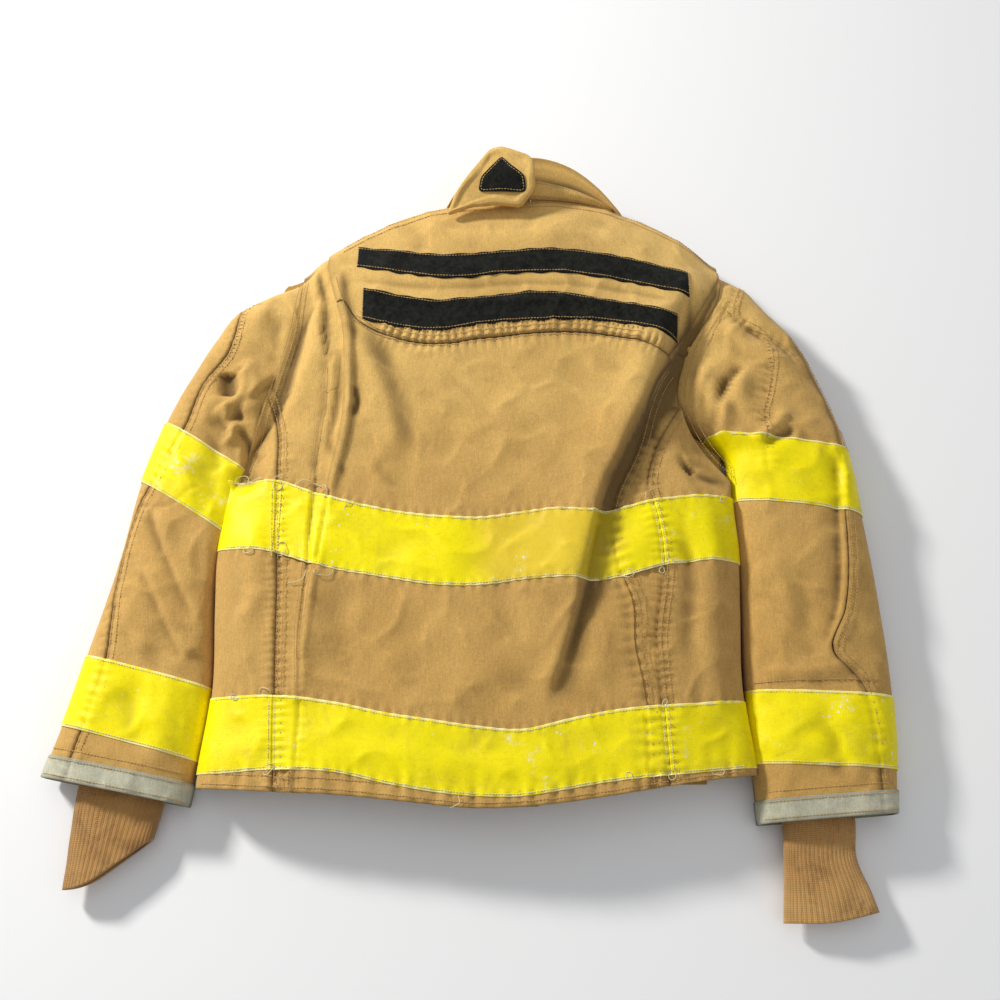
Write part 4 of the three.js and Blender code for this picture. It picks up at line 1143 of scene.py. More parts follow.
torso_piece(
    "back_panel_cloth", "back_panel", lambda y: ridge_x(y) - 6, lambda y: right_pleat_x(y) + 1, hem_edge,
    lambda x: np.where(x < 0, yoke_low(x) - 0.5, np.minimum(yoke_low(x) - 0.5, 196)), (330, 500),
)
torso_piece(
    "back_yoke_cloth", "back_yoke", lambda y: ridge_x(y) - 5, yoke_right_x,
    lambda x: yoke_low(x) + 0.5, lambda x: shoulder_line(x) + 12, (420, 200), lifted=0.7,
)
torso_piece(
    "left_side_panel_cloth", "left_side_panel",
    lambda y: np.where(y > 118, left_hole_x(y) + 0.5, left_seam_x(y) - SIDE_LAP),
    lambda y: ridge_x(y) + 14, hem_edge, lambda x: shoulder_line(x) + 5, (50, 560), lifted=-2.6,
)
torso_piece(
    "right_side_panel_cloth", "right_side_panel", lambda y: right_pleat_x(y) - 12,
    lambda y: np.where(y > 108, right_hole_x(y) - 0.5, right_seam_x(y) + SIDE_LAP),
    hem_edge, lambda x: np.minimum(yoke_low(x) + 12, 198 + 0 * x), (46, 470), lifted=-2.6,
)

FRONT_EDGE_T = 2.0 - 0.028
HOLE_T = [(0.5, 20), (0.99, 21), (1.08, 30), (1.22, 70), (1.36, 130), (1.46, 200), (1.54, 268)]
left_under = spline(HOLE_T)


def front_top(x, t):
    """Top edge of a front panel: the armpit on the back's side, the armhole then the shoulder in front."""
    hole = mix(chest_top(x) - 10, left_under(np.abs(t)), step(0.92, 1.12, np.abs(t)))
    return np.where(np.abs(t) < 1.54, np.minimum(hole, shoulder_line(x)), shoulder_line(x) - 1)


for side, seam_x, sign, count, width in (("left", left_seam_x, -1, 170, 330),
    ("right", right_seam_x, 1, 175, 350)):
    place = torso_wrap(lambda y, f=seam_x, s=sign: f(y) + s * SEAM_GAP, sign * FRONT_EDGE_T, hem_edge,
        front_top)
    coat_piece(cloth_piece(side + "_front_panel_cloth", place, count, 190, (width, 560), SHELL),
        side + "_front_panel")
torso_piece(
    "left_gusset_cloth", "left_gusset", lambda y: left_hole_x(y) + 0.5, lambda y: left_seam_x(y) - SEAM_GAP,
    lambda x: chest_top(x) - 9.4, level(117), (44, 96),
)
torso_piece(
    "right_gusset_cloth", "right_gusset", lambda y: right_seam_x(y) + SEAM_GAP,
    lambda y: right_hole_x(y) - 0.5,
    lambda x: chest_top(x) - 9.4, level(106), (80, 86),
)
torso_piece(
    "left_shoulder_cloth", "left_shoulder_panel", level(-200), level(-62), lambda x: shoulder_line(x) - 4,
    lambda x: shoulder_line(x) + OVER_SHOULDER, (170, 30), lifted=-2.8,
)
torso_piece(
    "right_shoulder_cloth", "right_shoulder_panel", lambda y: yoke_right_x(y) - 7,
    lambda y: np.maximum(right_hole_x(y) - 0.5, yoke_right_x(y) + 2),
    level(168), lambda x: shoulder_line(x) + 6, (24, 120), lifted=-1.5,
)

# Trims on the torso: the back band is one strip, each side band goes round to the front.
TRIM_LIFT = CLOTH + 0.15
TRIM_THICK = 1.0
TRIM_WIDTH = 75
TRIM_ROWS = 34
TRIM_EDGE = {"turn": 1.4, "drop": 0.6}
BAND_GAP = 0.2


def side_band(name, node, seam_x, end_t, low, high, count):
    place = torso_wrap(seam_x, end_t, low, lambda x, t: high(x), TRIM_LIFT)
    piece = cloth_piece(name, place, count, TRIM_ROWS, (250, TRIM_WIDTH), TRIM, TRIM_THICK, **TRIM_EDGE)
    coat_piece(piece, node, slot="reflective_trim")


for label, low, high in (("chest_trim", chest_low, chest_top), ("hem_trim", hem_low, hem_top)):
    torso_piece(
        label, label + "_back", lambda y: left_seam_x(y) + BAND_GAP, lambda y: right_seam_x(y) - BAND_GAP,
        low, high,
        (420, TRIM_WIDTH), TRIM, "reflective_trim", TRIM_THICK, TRIM_LIFT, **TRIM_EDGE
    )
for label, low, high, end_t, count in (
    ("chest_trim_", chest_low, chest_top, 1.86, 110),
    ("hem_trim_", hem_low, hem_top, 1.34, 70),
):
    for side, seam_x, sign in (("left", left_seam_x, -1), ("right", right_seam_x, 1)):
        start_x = lambda y, f=seam_x, s=sign: f(y) + s * BAND_GAP
        side_band(label + side + "_side", label + side, start_x, sign * end_t, low, high, count)


def wavy(curve, size=0.9):
    """The curve with the small waves of a sewn strip's edge."""
    return lambda x: curve(x) + size * np.sin(np.asarray(x) / 4.3
        + 2.2 * wander(x, np.asarray(x) * 0, 90, 81))


upper_low = spline([(-160, 268), (-110, 258), (-56, 251), (0, 257), (68, 258), (135, 248), (210, 229)])
upper_high = spline([(-164, 299), (-110, 289), (-62, 283), (0, 287), (68, 290), (125, 283), (212, 261)])
lower_low = spline([(-152, 201), (-110, 191), (-66, 186), (-22, 194), (56, 199), (111, 198), (195, 176)])
lower_high = spline([(-158, 241), (-110, 229), (-78, 223), (-34, 227), (45, 235), (112, 226), (201, 203)])
for label, low, high, x_from, x_to in (
    ("upper_loop_strip", upper_low, upper_high, -160, 209),
    ("lower_loop_strip", lower_low, lower_high, -151, 194),
):
    torso_piece(
        label + "_tape", label, level(x_from), level(x_to), wavy(low), wavy(high, 0.5), (365, 32), HOOK,
        "hook_and_loop", 1.8, CLOTH + 0.9, grid=2.0, turn=2.0, drop=1.0
    )


# ---------------------------------------------------------------- the sleeves' pieces
def metres(point):
    return tuple(float(v) for v in shift(point))


def bend_line(arm, sign, near, far):
    """Two points down and out from the armhole, in frame metres."""
    x, y = arm.pivot
    return [metres((x + sign * 0.72 * d, y - 0.70 * d, 25)) for d in (near, far)]


BEND = {"left": bend_line(LEFT_ARM, -1, 52, 170), "right": bend_line(RIGHT_ARM, 1, 40, 160)}


def sleeve_piece(piece, side, node):
    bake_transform(piece)
    if node:
        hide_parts(node)


def fixed(value):
    return lambda l: np.full_like(np.asarray(l, float), value)


def seam_t(arm, path):
    across = spline(path)
    return lambda l: arm.t_of(l, across(l))


UNDER = 1.16  # where a sleeve's two cloths meet below, as t
JOIN_GAP = 0.012
SLEEVE_HEAD = -158
CUFF_WIDTH = 23
LINING_SHORT = 106  # the lining stops where the tucked wristlet reaches
arm_data = {
    "left": (LEFT_ARM, left_arm_seam, 440, (68, -0.4), (319, -0.06)),
    "right": (RIGHT_ARM, right_arm_seam, 459, (61, 0.2), (337, 0.12)),
}


def whole_round(arm, l_low, l_high, lifted):
    return arm_region(arm, fixed(-UNDER), fixed(4 - UNDER - 0.01), l_low, l_high, lifted)


for side, (arm, seam_path, length, upper, lower) in arm_data.items():
    across_seam = seam_t(arm, seam_path)
    ends = fixed(SLEEVE_HEAD), fixed(length)
    back_place = arm_region(arm, fixed(-UNDER), across_seam, *ends)
    back = cloth_piece(side + "_sleeve_back_cloth", back_place, 60, 230, (110, 580), SHELL)
    sleeve_piece(back, side, side + "_sleeve_back")
    front_place = arm_region(
        arm, lambda l, f=across_seam: f(l) + JOIN_GAP, fixed(4 - UNDER - JOIN_GAP), *ends, -0.5
    )
    front = cloth_piece(side + "_sleeve_front_cloth", front_place, 96, 230, (180, 580), SHELL)
    sleeve_piece(front, side, side + "_sleeve_front")
    for label, (start, slope) in (("upper_trim", upper), ("lower_trim", lower)):
        place = whole_round(
            arm, lambda q, a=start, k=slope: a + k * q, lambda q, a=start, k=slope: a + TRIM_WIDTH + k * q,
            CLOTH + 0.1
        )
        size = (290, TRIM_WIDTH)
        strip = cloth_piece(f"{side}_{label}_band", place, 130, TRIM_ROWS, size, TRIM, TRIM_THICK,
            **TRIM_EDGE)
        sleeve_piece(strip, side, f"{side}_{label}")
    place = whole_round(arm, fixed(length - 20), fixed(length + 3), CLOTH + 0.1)
    cuff = cloth_piece(side + "_cuff_band", place, 130, 14, (290, CUFF_WIDTH), CUFF, 1.3, turn=2.0,
        drop=0.8)
    sleeve_piece(cuff, side, side + "_cuff_trim")
    place = whole_round(arm, fixed(SLEEVE_HEAD + 14), fixed(length - LINING_SHORT), -9.0)
    lining = cloth_piece(side + "_sleeve_lining", place, 60, 110, (250, 540), LINER, 3.6, turn=3.0)
    sleeve_piece(lining, side, side + "_sleeve_liner")


# Knit wristlets: ribs run along the tube and the free end is slanted.
def wristlet(side, arm, start, end_of, inner, outer, ribs):
    inner_edge, outer_edge = spline(inner), spline(outer)

    def surface(a, v, inset):
        angle = 2 * math.pi * a
        q = np.zeros_like(a)
        l = np.zeros_like(a)
        for _ in range(5):
            l = mix(start, end_of(q), v)
            low, high = inner_edge(l), outer_edge(l)
            q = (low + high) / 2 + ((high - low) / 2 - inset) * np.sin(angle)
        rib = 0.75 * np.abs(np.cos(ribs * math.pi * a)) ** 0.8
        slack = 0.9 * wander(l, q, 40, 61) + 0.7 * np.sin(l / 9 + 3 * np.sin(q / 17)) * step(0.2, 0.9, v)
        top = (9.4 - inset + rib * (inset < 1)) * np.sign(np.cos(angle)) * np.abs(np.cos(angle)) ** 0.55
        z = 18 + top + slack * (np.cos(angle) > 0)
        x, y = arm.plan(l, q)
        return np.stack([x, y, z], -1)

    around, along = ribs * 6, 64
    a, v = np.meshgrid(np.arange(around) / around, np.linspace(0, 1, along), indexing="ij")
    points = np.concatenate([surface(a, v, 0.0).reshape(-1, 3), surface(a, v, 3.0).reshape(-1, 3)])
    index = np.arange(around * along).reshape(around, along)
    nxt = np.roll(index, -1, axis=0)
    quads = np.stack([index[:, :-1], nxt[:, :-1], nxt[:, 1:], index[:, 1:]], -1).reshape(-1, 4)
    faces = quads.tolist() + (quads[:, ::-1] + around * along).tolist()
    for ring, turn in ((0, -1), (along - 1, 1)):
        loop = np.stack([index[:, ring], nxt[:, ring], nxt[:, ring] + around * along,
            index[:, ring] + around * along], -1)
        faces += loop[:, ::turn].tolist()
    uv = np.stack([a.ravel() * 0.2, v.ravel() * 0.14], -1)
    piece = make_mesh(side + "_wristlet_knit", points, faces, KNIT, np.concatenate([uv, uv]))
    face_outwards(piece)
    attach(piece, side + "_wristlet")
    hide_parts(side + "_wristlet")
    return piece


wristlet("left", LEFT_ARM, 402, spline([(-60, 476), (-30, 508), (-5, 533), (16, 543), (30, 545)]),
         [(400, -58), (455, -58), (480, -57), (545, -50)], [(400, 32), (442, 32), (500, 24), (545, 17)], 48)
wristlet("right", RIGHT_ARM, 420, spline([(-66, 556), (-20, 559), (30, 553)]),
         [(418, -52), (460, -52), (510, -58), (560, -66)],
         [(418, 24), (472, 20), (500, 16), (530, 24), (560, 31)], 50)


# ---------------------------------------------------------------- collar
def ring_spline(rows):
    """x, y and z round the collar from (angle in degrees, x, y, z) rows."""
    return [spline([(r[0], r[i]) for r in rows]) for i in (1, 2, 3)]


collar_base = ring_spline([
    (-180, -60, 342, 30), (-135, -34, 345, 19), (-90, 38, 350, 15), (-45, 110, 346, 18), (0, 141, 341, 32),
    (30, 128, 352, 46), (60, 92, 361, 54), (90, 38, 364, 57), (120, -20, 362, 56), (150, -48, 352, 47),
    (180, -60, 342, 34),
])
collar_edge = ring_spline([
    (-180, -64, 356, 46), (-150, -48, 382, 50), (-120, -14, 408, 54), (-90, 34, 421, 58),
    (-60, 80, 407, 60), (-35, 112, 380, 60),
    (-15, 134, 354, 56), (0, 140, 346, 53), (30, 124, 356, 58), (60, 88, 371, 65), (90, 36, 384, 68),
    (120, -14, 386, 68),
    (150, -46, 372, 62), (180, -64, 356, 48),
])


def collar_surface(angle, h, lift):
    base = np.stack([f(angle) for f in collar_base], -1)
    edge = np.stack([f(angle) for f in collar_edge], -1)
    turn = np.radians(angle)
    out = np.stack([np.cos(turn) * 0.5, 0.0 * turn - 0.55 * np.sin(turn), np.sin(turn) * 0.9], -1)
    roll = 3.5 * np.sin(math.pi * h) + lift + 0.7 * wander(angle, h * 60, 40,
        71) + 0.3 * np.sin(angle / 1.7) * (h < 0.25)
    groove = -0.9 * np.exp(-(((h - 0.14) / 0.05) ** 2)) - 0.6 * np.exp(-(((h - 0.86) / 0.04) ** 2))
    return base + (edge - base) * h[..., None] + out * (roll + groove)[..., None]


def collar_piece(name, start, end, node):
    def place(u, v, lift):
        return collar_surface(mix(start, end, u), v, lift)

    # The front collar pieces get painted shade over their lower part, fading out before the top edge.
    inside = None if start > 0 else lambda u, v, top: 0.95 * (1 - step(0.66, 0.80, v))
    piece = cloth_piece(name, place, 110, 34, (190, 50), SHELL, 3.4, turn=3.0, drop=1.5, shaded=inside)
    coat_piece(piece, node)


collar_piece("collar_back_cloth", 28, 152, "collar_back")
collar_piece("collar_left_cloth", -179.5, -90.1, "collar_left")
collar_piece("collar_right_cloth", -89.9, 29, "collar_right")


def padded_slab(name, outline, height_at, material, thick, edge, hem, seed, frame_width=0.0):
    """A rounded flat piece: rings from the outline to its middle, sewn down inside the edge."""
    line = np.array(smooth_closed(outline))
    middle = line.mean(0)
    steps = np.concatenate([[0, 0.004, 0.012, 0.025, 0.05, 0.08, 0.12, 0.16, 0.21],
        np.linspace(0.27, 0.985, 16)])
    rings_top, rings_low = [], []
    for k in steps:
        ring = mix(line, middle, k)
        inward = k * np.linalg.norm(line - middle, axis=1)
        rounded = np.sqrt(1 - (1 - np.clip(inward / edge, 0, 1)) ** 2)
        extra = 0.5 * wander(ring[:, 0], ring[:, 1], 22,
            seed) - 0.9 * np.exp(-(((inward - hem) / 1.2) ** 2))
        if frame_width:
            raised = 1.3 * np.exp(-(((inward - frame_width / 2) / frame_width * 2.4) ** 2))
            extra = extra + raised - 1.2 * step(frame_width, frame_width + 3, inward)
        middle_z = height_at(ring[:, 0], ring[:, 1])
        rings_top.append(np.column_stack([ring, middle_z + (thick / 2) * rounded + extra * rounded]))
        rings_low.append(np.column_stack([ring, middle_z - (thick / 2) * rounded]))
    count, depth = len(line), len(steps)
    poles = [[[*middle, rings[-1][:, 2].mean()]] for rings in (rings_top, rings_low)]
    points = np.concatenate(rings_top + rings_low[1:] + poles)
    faces = []
    top_at = lambda row, i: row * count + i % count
    low_at = lambda row, i: (i % count) if row == 0 else (depth + row - 1) * count + i % count
    for row in range(depth - 1):
        for i in range(count):
            faces.append([top_at(row, i), top_at(row, i + 1), top_at(row + 1, i + 1), top_at(row + 1, i)])
            faces.append([low_at(row + 1, i), low_at(row + 1, i + 1), low_at(row, i + 1), low_at(row, i)])
    top_pole, low_pole = len(points) - 2, len(points) - 1
    for i in range(count):
        faces.append([top_at(depth - 1, i), top_at(depth - 1, i + 1), top_pole])
        faces.append([low_at(depth - 1, i + 1), low_at(depth - 1, i), low_pole])
    piece = make_mesh(name, points, faces, material, points[:, :2] / 1000)
    face_outwards(piece)
    return piece


def smooth_closed(outline, spacing=1.6, corner=5.0):
    """The outline as an even ring of points with its corners rounded off."""
    ring = []
    count = len(outline)
    for i in range(count):
        before, here, after = (np.array(outline[(i + k) % count], float) for k in (-1, 0, 1))
        to, away = here - before, after - here
        a = here - to / np.linalg.norm(to) * min(corner, np.linalg.norm(to) / 2)
        b = here + away / np.linalg.norm(away) * min(corner, np.linalg.norm(away) / 2)
        for k in np.linspace(0, 1, 5):
            ring.append((1 - k) ** 2 * a + 2 * k * (1 - k) * here + k * k * b)
    ring = np.array(ring + [ring[0]])
    at = np.concatenate([[0], np.cumsum(np.linalg.norm(np.diff(ring, axis=0), axis=1))])
    run = np.linspace(0, at[-1], int(at[-1] / spacing), endpoint=False)
    return np.column_stack([np.interp(run, at, ring[:, 0]), np.interp(run, at, ring[:, 1])])


TAB_Z = 86.0
TAB_DIP = 12  # how much lower the tab lies at its low edge
tab_outline = [(-61, 334), (-52, 358), (-12, 412), (0, 416), (34, 402), (40, 392), (40, 362), (24, 342),
    (-3, 345), (-34, 343)]
patch_outline = [(-25, 358), (-22, 374), (2, 400), (11, 389), (28, 375), (30, 357)]


def tab_height(x, y):
    across, _, _ = to_path(x, y, [(-60, 330), (-4, 415)])
    return TAB_Z + 2.0 * np.cos((np.abs(across) - 25) / 22) + 0.05 * x - TAB_DIP * (1
        - step(336, 386, np.asarray(y)))


tab = padded_slab("throat_tab_cloth", tab_outline, tab_height, SHELL, 6.4, 3.2, 3.4, 72, frame_width=8.0)
coat_piece(tab, "throat_tab", body="throat_tab")
patch = padded_slab("throat_tab_pile", patch_outline, lambda x, y: tab_height(x, y) + 3.9, HOOK, 2.4, 1.8,
    2.6, 73)
coat_piece(patch, "throat_tab_patch", slot="hook_and_loop", body="throat_tab")


# ---------------------------------------------------------------- front, under the coat
SLAB_GRID = 4.0


def front_slab(name, x0, x1, y0, y1, z0, z1, material, slot, node, body="coat_body"):
    """A flat strip or pocket under the coat, between two values of x, y and z."""
    thick = z1 - z0

    def place(u, v, lift):
        x, y = mix(x0, x1, u), mix(y0, y1, v)
        ripple = 0.18 * np.sin(y / 2.1) * np.exp(-((np.minimum(u, 1 - u) * abs(x1 - x0) - 5) / 3) ** 2)
        return np.stack([x, y, z0 + lift + np.where(lift > thick / 2, 0, ripple)], -1)

    size = (abs(x1 - x0), abs(y1 - y0))
    count = (int(size[0] / SLAB_GRID) + 8, int(size[1] / SLAB_GRID) + 8)
    edge = {"turn": min(1.6, size[0] / 5), "drop": min(0.7, thick / 3)}
    coat_piece(cloth_piece(name, place, *count, size, material, thick, **edge), node, slot=slot, body=body)


front_slab("storm_flap_cloth", -51, 25, -319, 271, 0.2, 2.8, SHELL, "shell_cloth", "storm_flap",
    "storm_flap")
front_slab("storm_flap_hooks", -50, -37, -307, 259, 3.3, 5.3, HOOK, "hook_and_loop",
    "storm_flap_hook_strip", "storm_flap")
front_slab("storm_flap_join", 25.3, 39, -319, 271, 3.3, 8.7, SHELL, "shell_cloth", "storm_flap_seam")
front_slab("front_loops", -50, -37, -307, 259, 5.6, 8.7, HOOK, "hook_and_loop", "front_loop_strip")
for side, x0 in (("left", -245), ("right", 62)):
    x1 = x0 + 150
    front_slab(side + "_pocket_cloth", x0, x1, -297, -117, 3.4, 8.7, SHELL, "shell_cloth", side + "_pocket")
    front_slab(side + "_pocket_band", x0 + 1, x1 - 1, -295, -220, 1.8, 3.1, TRIM, "reflective_trim",
        side + "_pocket_trim")
    front_slab(side + "_pocket_flap_cloth", x0 - 3, x1 + 3, -175, -107, 0.2, 2.8, SHELL, "shell_cloth",
        side + "_pocket_flap",
               side + "_pocket_flap")
    front_slab(side + "_pocket_flap_join", x0 - 3, x1 + 3, -116.7, -107, 3.3, 8.7, SHELL, "shell_cloth",
        side + "_pocket_flap_seam")

ZIP_X = -22
TOOTH_PITCH = 4.2
TOOTH_FACES = ((0, 1, 3, 2), (4, 6, 7, 5), (0, 4, 5, 1), (2, 3, 7, 6), (0, 2, 6, 4), (1, 5, 7, 3))
for side, sign in (("left", -1), ("right", 1)):
    x_in, x_out = ZIP_X + sign * 0.75, ZIP_X + sign * 14
    ends = min(x_in, x_out), max(x_in, x_out)
    front_slab(side + "_zip_tape_weave", *ends, -298, 262, 7.6, 8.7, TAPE, "zip_tape", "zip_tape_" + side)

# Brass teeth, one block repeated down each tape.
for side, sign in (("left", -1), ("right", 1)):
    points, faces = [], []
    for y in np.arange(-296, 260, TOOTH_PITCH):
        x0, x1 = ZIP_X + sign * 0.8, ZIP_X + sign * 3.8
        y0 = y + (TOOTH_PITCH / 2 if sign > 0 else 0.0)
        faces += [[len(points) + k for k in face] for face in TOOTH_FACES]
        points += [(x, yy, z) for x in (x0, x1) for yy in (y0, y0 + 1.5) for z in (6.5, 8.4)]
    teeth = make_mesh(side + "_zip_teeth", points, faces, BRASS)
    face_outwards(teeth)
    coat_piece(teeth, slot="zip_brass")

for node in ("zip_slider", "zip_pull"):
    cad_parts[node].data.materials.clear()
    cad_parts[node].data.materials.append(BRASS)


# ---------------------------------------------------------------- linings
LINING_EDGE_T = 1.90
LINING_ROUND = 1060
REACH = 0.985


def lining(name, depth, thick, material, node, slot, quilt=0.0, low_gap=27, high_gap=22):
    """A sheet round the inside of the torso, open down the front, drawn in past the armholes."""

    def place(u, v, lift):
        turn = mix(-LINING_EDGE_T, LINING_EDGE_T, u)
        x_low = torso_at(turn, -300)[..., 0]
        y = mix(hem_edge(x_low) + low_gap, shoulder_line(np.clip(x_low, -205, 205)) - high_gap, v)
        side = np.sign(turn)
        level_y = np.clip(y, 22, 250)
        hole_x = np.where(side < 0, left_hole_x(level_y) + 8, right_hole_x(level_y) - 10)
        reach = np.where(y > 0, mix(REACH, np.abs(torso_t(hole_x, y)), step(0, 30, y)), REACH)
        back = np.abs(turn) <= 1
        in_front = 2 - reach + (reach + LINING_EDGE_T - 2) * (np.abs(turn) - 1) / (LINING_EDGE_T - 1)
        t = np.where(back, turn * reach, side * in_front)
        across = u * LINING_ROUND
        ripple = quilt * np.abs(np.sin((across + y) / 22)) * np.abs(np.sin((across - y) / 22))
        return torso_at(t, y, lift - depth - ripple)

    piece = cloth_piece(name, place, 200, 150, (LINING_ROUND, 600), material, thick, turn=3.0)
    coat_piece(piece, node, slot=slot)
    return piece


lining("moisture_barrier_sheet", 6.4, 0.8, BARRIER, "moisture_barrier", "barrier_cloth")
quilted = lining("thermal_liner_quilt", 11.0, 3.2, LINER, "thermal_liner", "quilted_liner", 0.8, 30, 24)
torso_piece(
    "hem_facing_cloth", "hem_facing", level(-285), level(240), lambda x: hem_edge(x) + 1,
    lambda x: hem_edge(x) + 23, (520, 22), thick=1.2, lifted=-4.6, grid=5.0,
)


# ---------------------------------------------------------------- stitching
def edge_line(curve, x0, x1, offset, count=120):
    x = np.linspace(x0, x1, count)
    return np.column_stack([x, curve(x) + offset])


TRIM_TOP = TRIM_LIFT + TRIM_THICK + 0.25
CREAM_STITCH = (CREAM_THREAD, 3.0, 2.6, 0.55, 5)  # thread, pitch, length, radius, seed
tan_lines, cream_lines = [], []
for path, gaps, low, high in (
    (left_side_seam, (2.6, 8.5), -312, 116),
    (left_pleat, (-3.0,), -312, 150),
    (right_side_seam, (2.6, 8.5), -312, 106),
    (right_pleat, (3.0, 9.0), -312, 150),
):
    for gap in gaps:
        tan_lines.append(on_torso(clipped(path, low, high), gap))
for path in (left_armhole, right_armhole[1:]):
    for gap in (3.2, 9.5):
        tan_lines.append(on_torso(path, gap))
tan_lines.append(on_torso(clipped(left_edge_fold, 10, 262), 3.0, 3.5))
yoke_line = smooth_path(yoke_seam[2:12], 60)
for gap, lift in ((3.0, 3.9), (9.0, 3.9), (-3.0, 3.2)):
    tan_lines.append(on_torso(yoke_line, gap, lift, 160))
for gap in (-4.0, -10.0):
    tan_lines.append(flat_torso(edge_line(shoulder_line, -176, 236, gap), 3.9))
for gap in (5.0, 15.0):
    tan_lines.append(flat_torso(edge_line(hem_edge, -292, 248, gap), 3.0))
for curve, inset in ((chest_top, -2.6), (chest_low, 2.6), (hem_top, -2.6), (hem_low, 2.6)):
    cream_lines.append(flat_torso(edge_line(curve, -284, 238, inset), TRIM_TOP))
for x, low, high in ((-234.5, -70, 8), (-229, -72, 7)):
    tan_lines.append(flat_torso(np.column_stack([np.full(30, x), np.linspace(low, high, 30)]), TRIM_TOP))
for low, high, ends in ((upper_low, upper_high, (-161, 209)), (lower_low, lower_high, (-153, 196))):
    for curve, inset in ((low, 2.6), (high, -2.6)):
        tan_lines.append(flat_torso(edge_line(curve, ends[0] + 3, ends[1] - 3, inset), CLOTH + 2.9))
    for x in (ends[0] + 2, ends[1] - 1):
        upright = np.column_stack([np.full(12, x), np.linspace(low(x) + 3, high(x) - 3, 12)])
        tan_lines.append(flat_torso(upright, CLOTH + 2.9))

coat_piece(stitched("coat_stitches_tan", tan_lines, TAN_THREAD), slot="shell_cloth")
for path, low, high in (
    (left_side_seam, -72, 8), (right_side_seam, -82, -10), (left_side_seam, -290, -218),
    (right_side_seam, -292, -228),
):
    for gap in (3.0, -3.0):
        cream_lines.append(on_torso(clipped(path, low, high), gap, TRIM_TOP))
coat_piece(stitched("coat_stitches_cream", cream_lines, *CREAM_STITCH), slot="reflective_trim")



def tube(points, radius, sides=5):
    """Points and faces of a thin closed tube along a 3-D line."""
    line = np.asarray(points, float)
    way = np.gradient(line, axis=0)
    way /= np.linalg.norm(way, axis=1)[:, None]
    side = np.cross(way, (0.0, 0.0, 1.0))
    side /= np.linalg.norm(side, axis=1)[:, None] + 1e-9
    up = np.cross(side, way)
    turns = np.arange(sides) * 2 * math.pi / sides
    ring = line[:, None] + radius * (np.cos(turns)[:, None] * side[:, None]
        + np.sin(turns)[:, None] * up[:, None])
    faces = []
    for i in range(len(line) - 1):
        for k in range(sides):
            m = (k + 1) % sides
            faces.append([i * sides + k, i * sides + m, (i + 1) * sides + m, (i + 1) * sides + k])
    last = (len(line) - 1) * sides
    faces += [list(range(sides))[::-1], [last + k for k in range(sides)]]
    return ring.reshape(-1, 3), faces


THREAD_RADIUS = 0.42
THREAD_STEPS = 22


def loose_threads(name, starts, seed):
    """Short curled thread ends, each lying on the cloth from a start (x, y, heading, length)."""
    rng = np.random.default_rng(seed)
    points, faces = [], []
    for x, y, heading, length in starts:
        bend = rng.uniform(-0.35, 0.35)
        way = math.radians(heading)
        line = []
        for i in range(THREAD_STEPS):
            line.append((x, y))
            way += bend + 0.16 * math.sin(i / 2.0 + rng.uniform(0, 1))
            x, y = x + math.cos(way) * length / THREAD_STEPS, y + math.sin(way) * length / THREAD_STEPS
        line = np.array(line)
        lift = 4.6 + 1.2 * np.sin(np.linspace(0.4, 5.0, THREAD_STEPS))
        ring, sides = tube(flat_torso(line, lift), THREAD_RADIUS)
        faces += [[f + len(points) for f in face] for face in sides]
        points += ring.tolist()
    piece = make_mesh(name, points, faces, CREAM_THREAD)
    face_outwards(piece)
    coat_piece(piece, slot="reflective_trim")


loose_threads("chest_thread_ends", [
    (-268, 17, 30, 40), (-250, 18, 140, 34), (-228, 14, 80, 44), (-214, 8, 20, 30), (-190, 0, 60, 26),
    (-226, -70, -40, 34),
    (-196, -86, -100, 30), (-188, -90, -80, 26), (-262, -62, -160, 22), (124, -92, -90, 26),
    (166, -84, -60, 22), (150, -8, 80, 20),
    (236, 0, 120, 20), (-150, -12, 170, 18), (60, -24, 30, 16),
], 31)
loose_threads("hem_thread_ends", [
    (-226, -214, 70, 22), (-262, -214, 110, 20), (-228, -292, -80, 26), (-40, -314, -70, 18),
    (120, -296, -110, 20), (168, -292, -70, 24),
    (214, -286, -60, 18), (158, -226, 100, 20),
], 37)


def ladder(place, path, low_gap, high_gap, pitch, lift):
    """Ladder stitches lie across a seam, one short bar for each."""
    line = np.array(smooth_path(path, 40))
    total = np.linalg.norm(np.diff(line, axis=0), axis=1).sum()
    count = max(int(total / pitch), 4)
    inner, outer = place(path, low_gap, lift, count), place(path, high_gap, lift, count)
    return [np.array([a, b]) for a, b in zip(inner, outer)]


bars = ladder(on_torso, yoke_line, 14.0, 18.5, 5.2, 4.0)
coat_piece(stitched("coat_ladder_stitches", bars, TAN_THREAD, 6.0, 4.2, 0.5, 7), slot="shell_cloth")

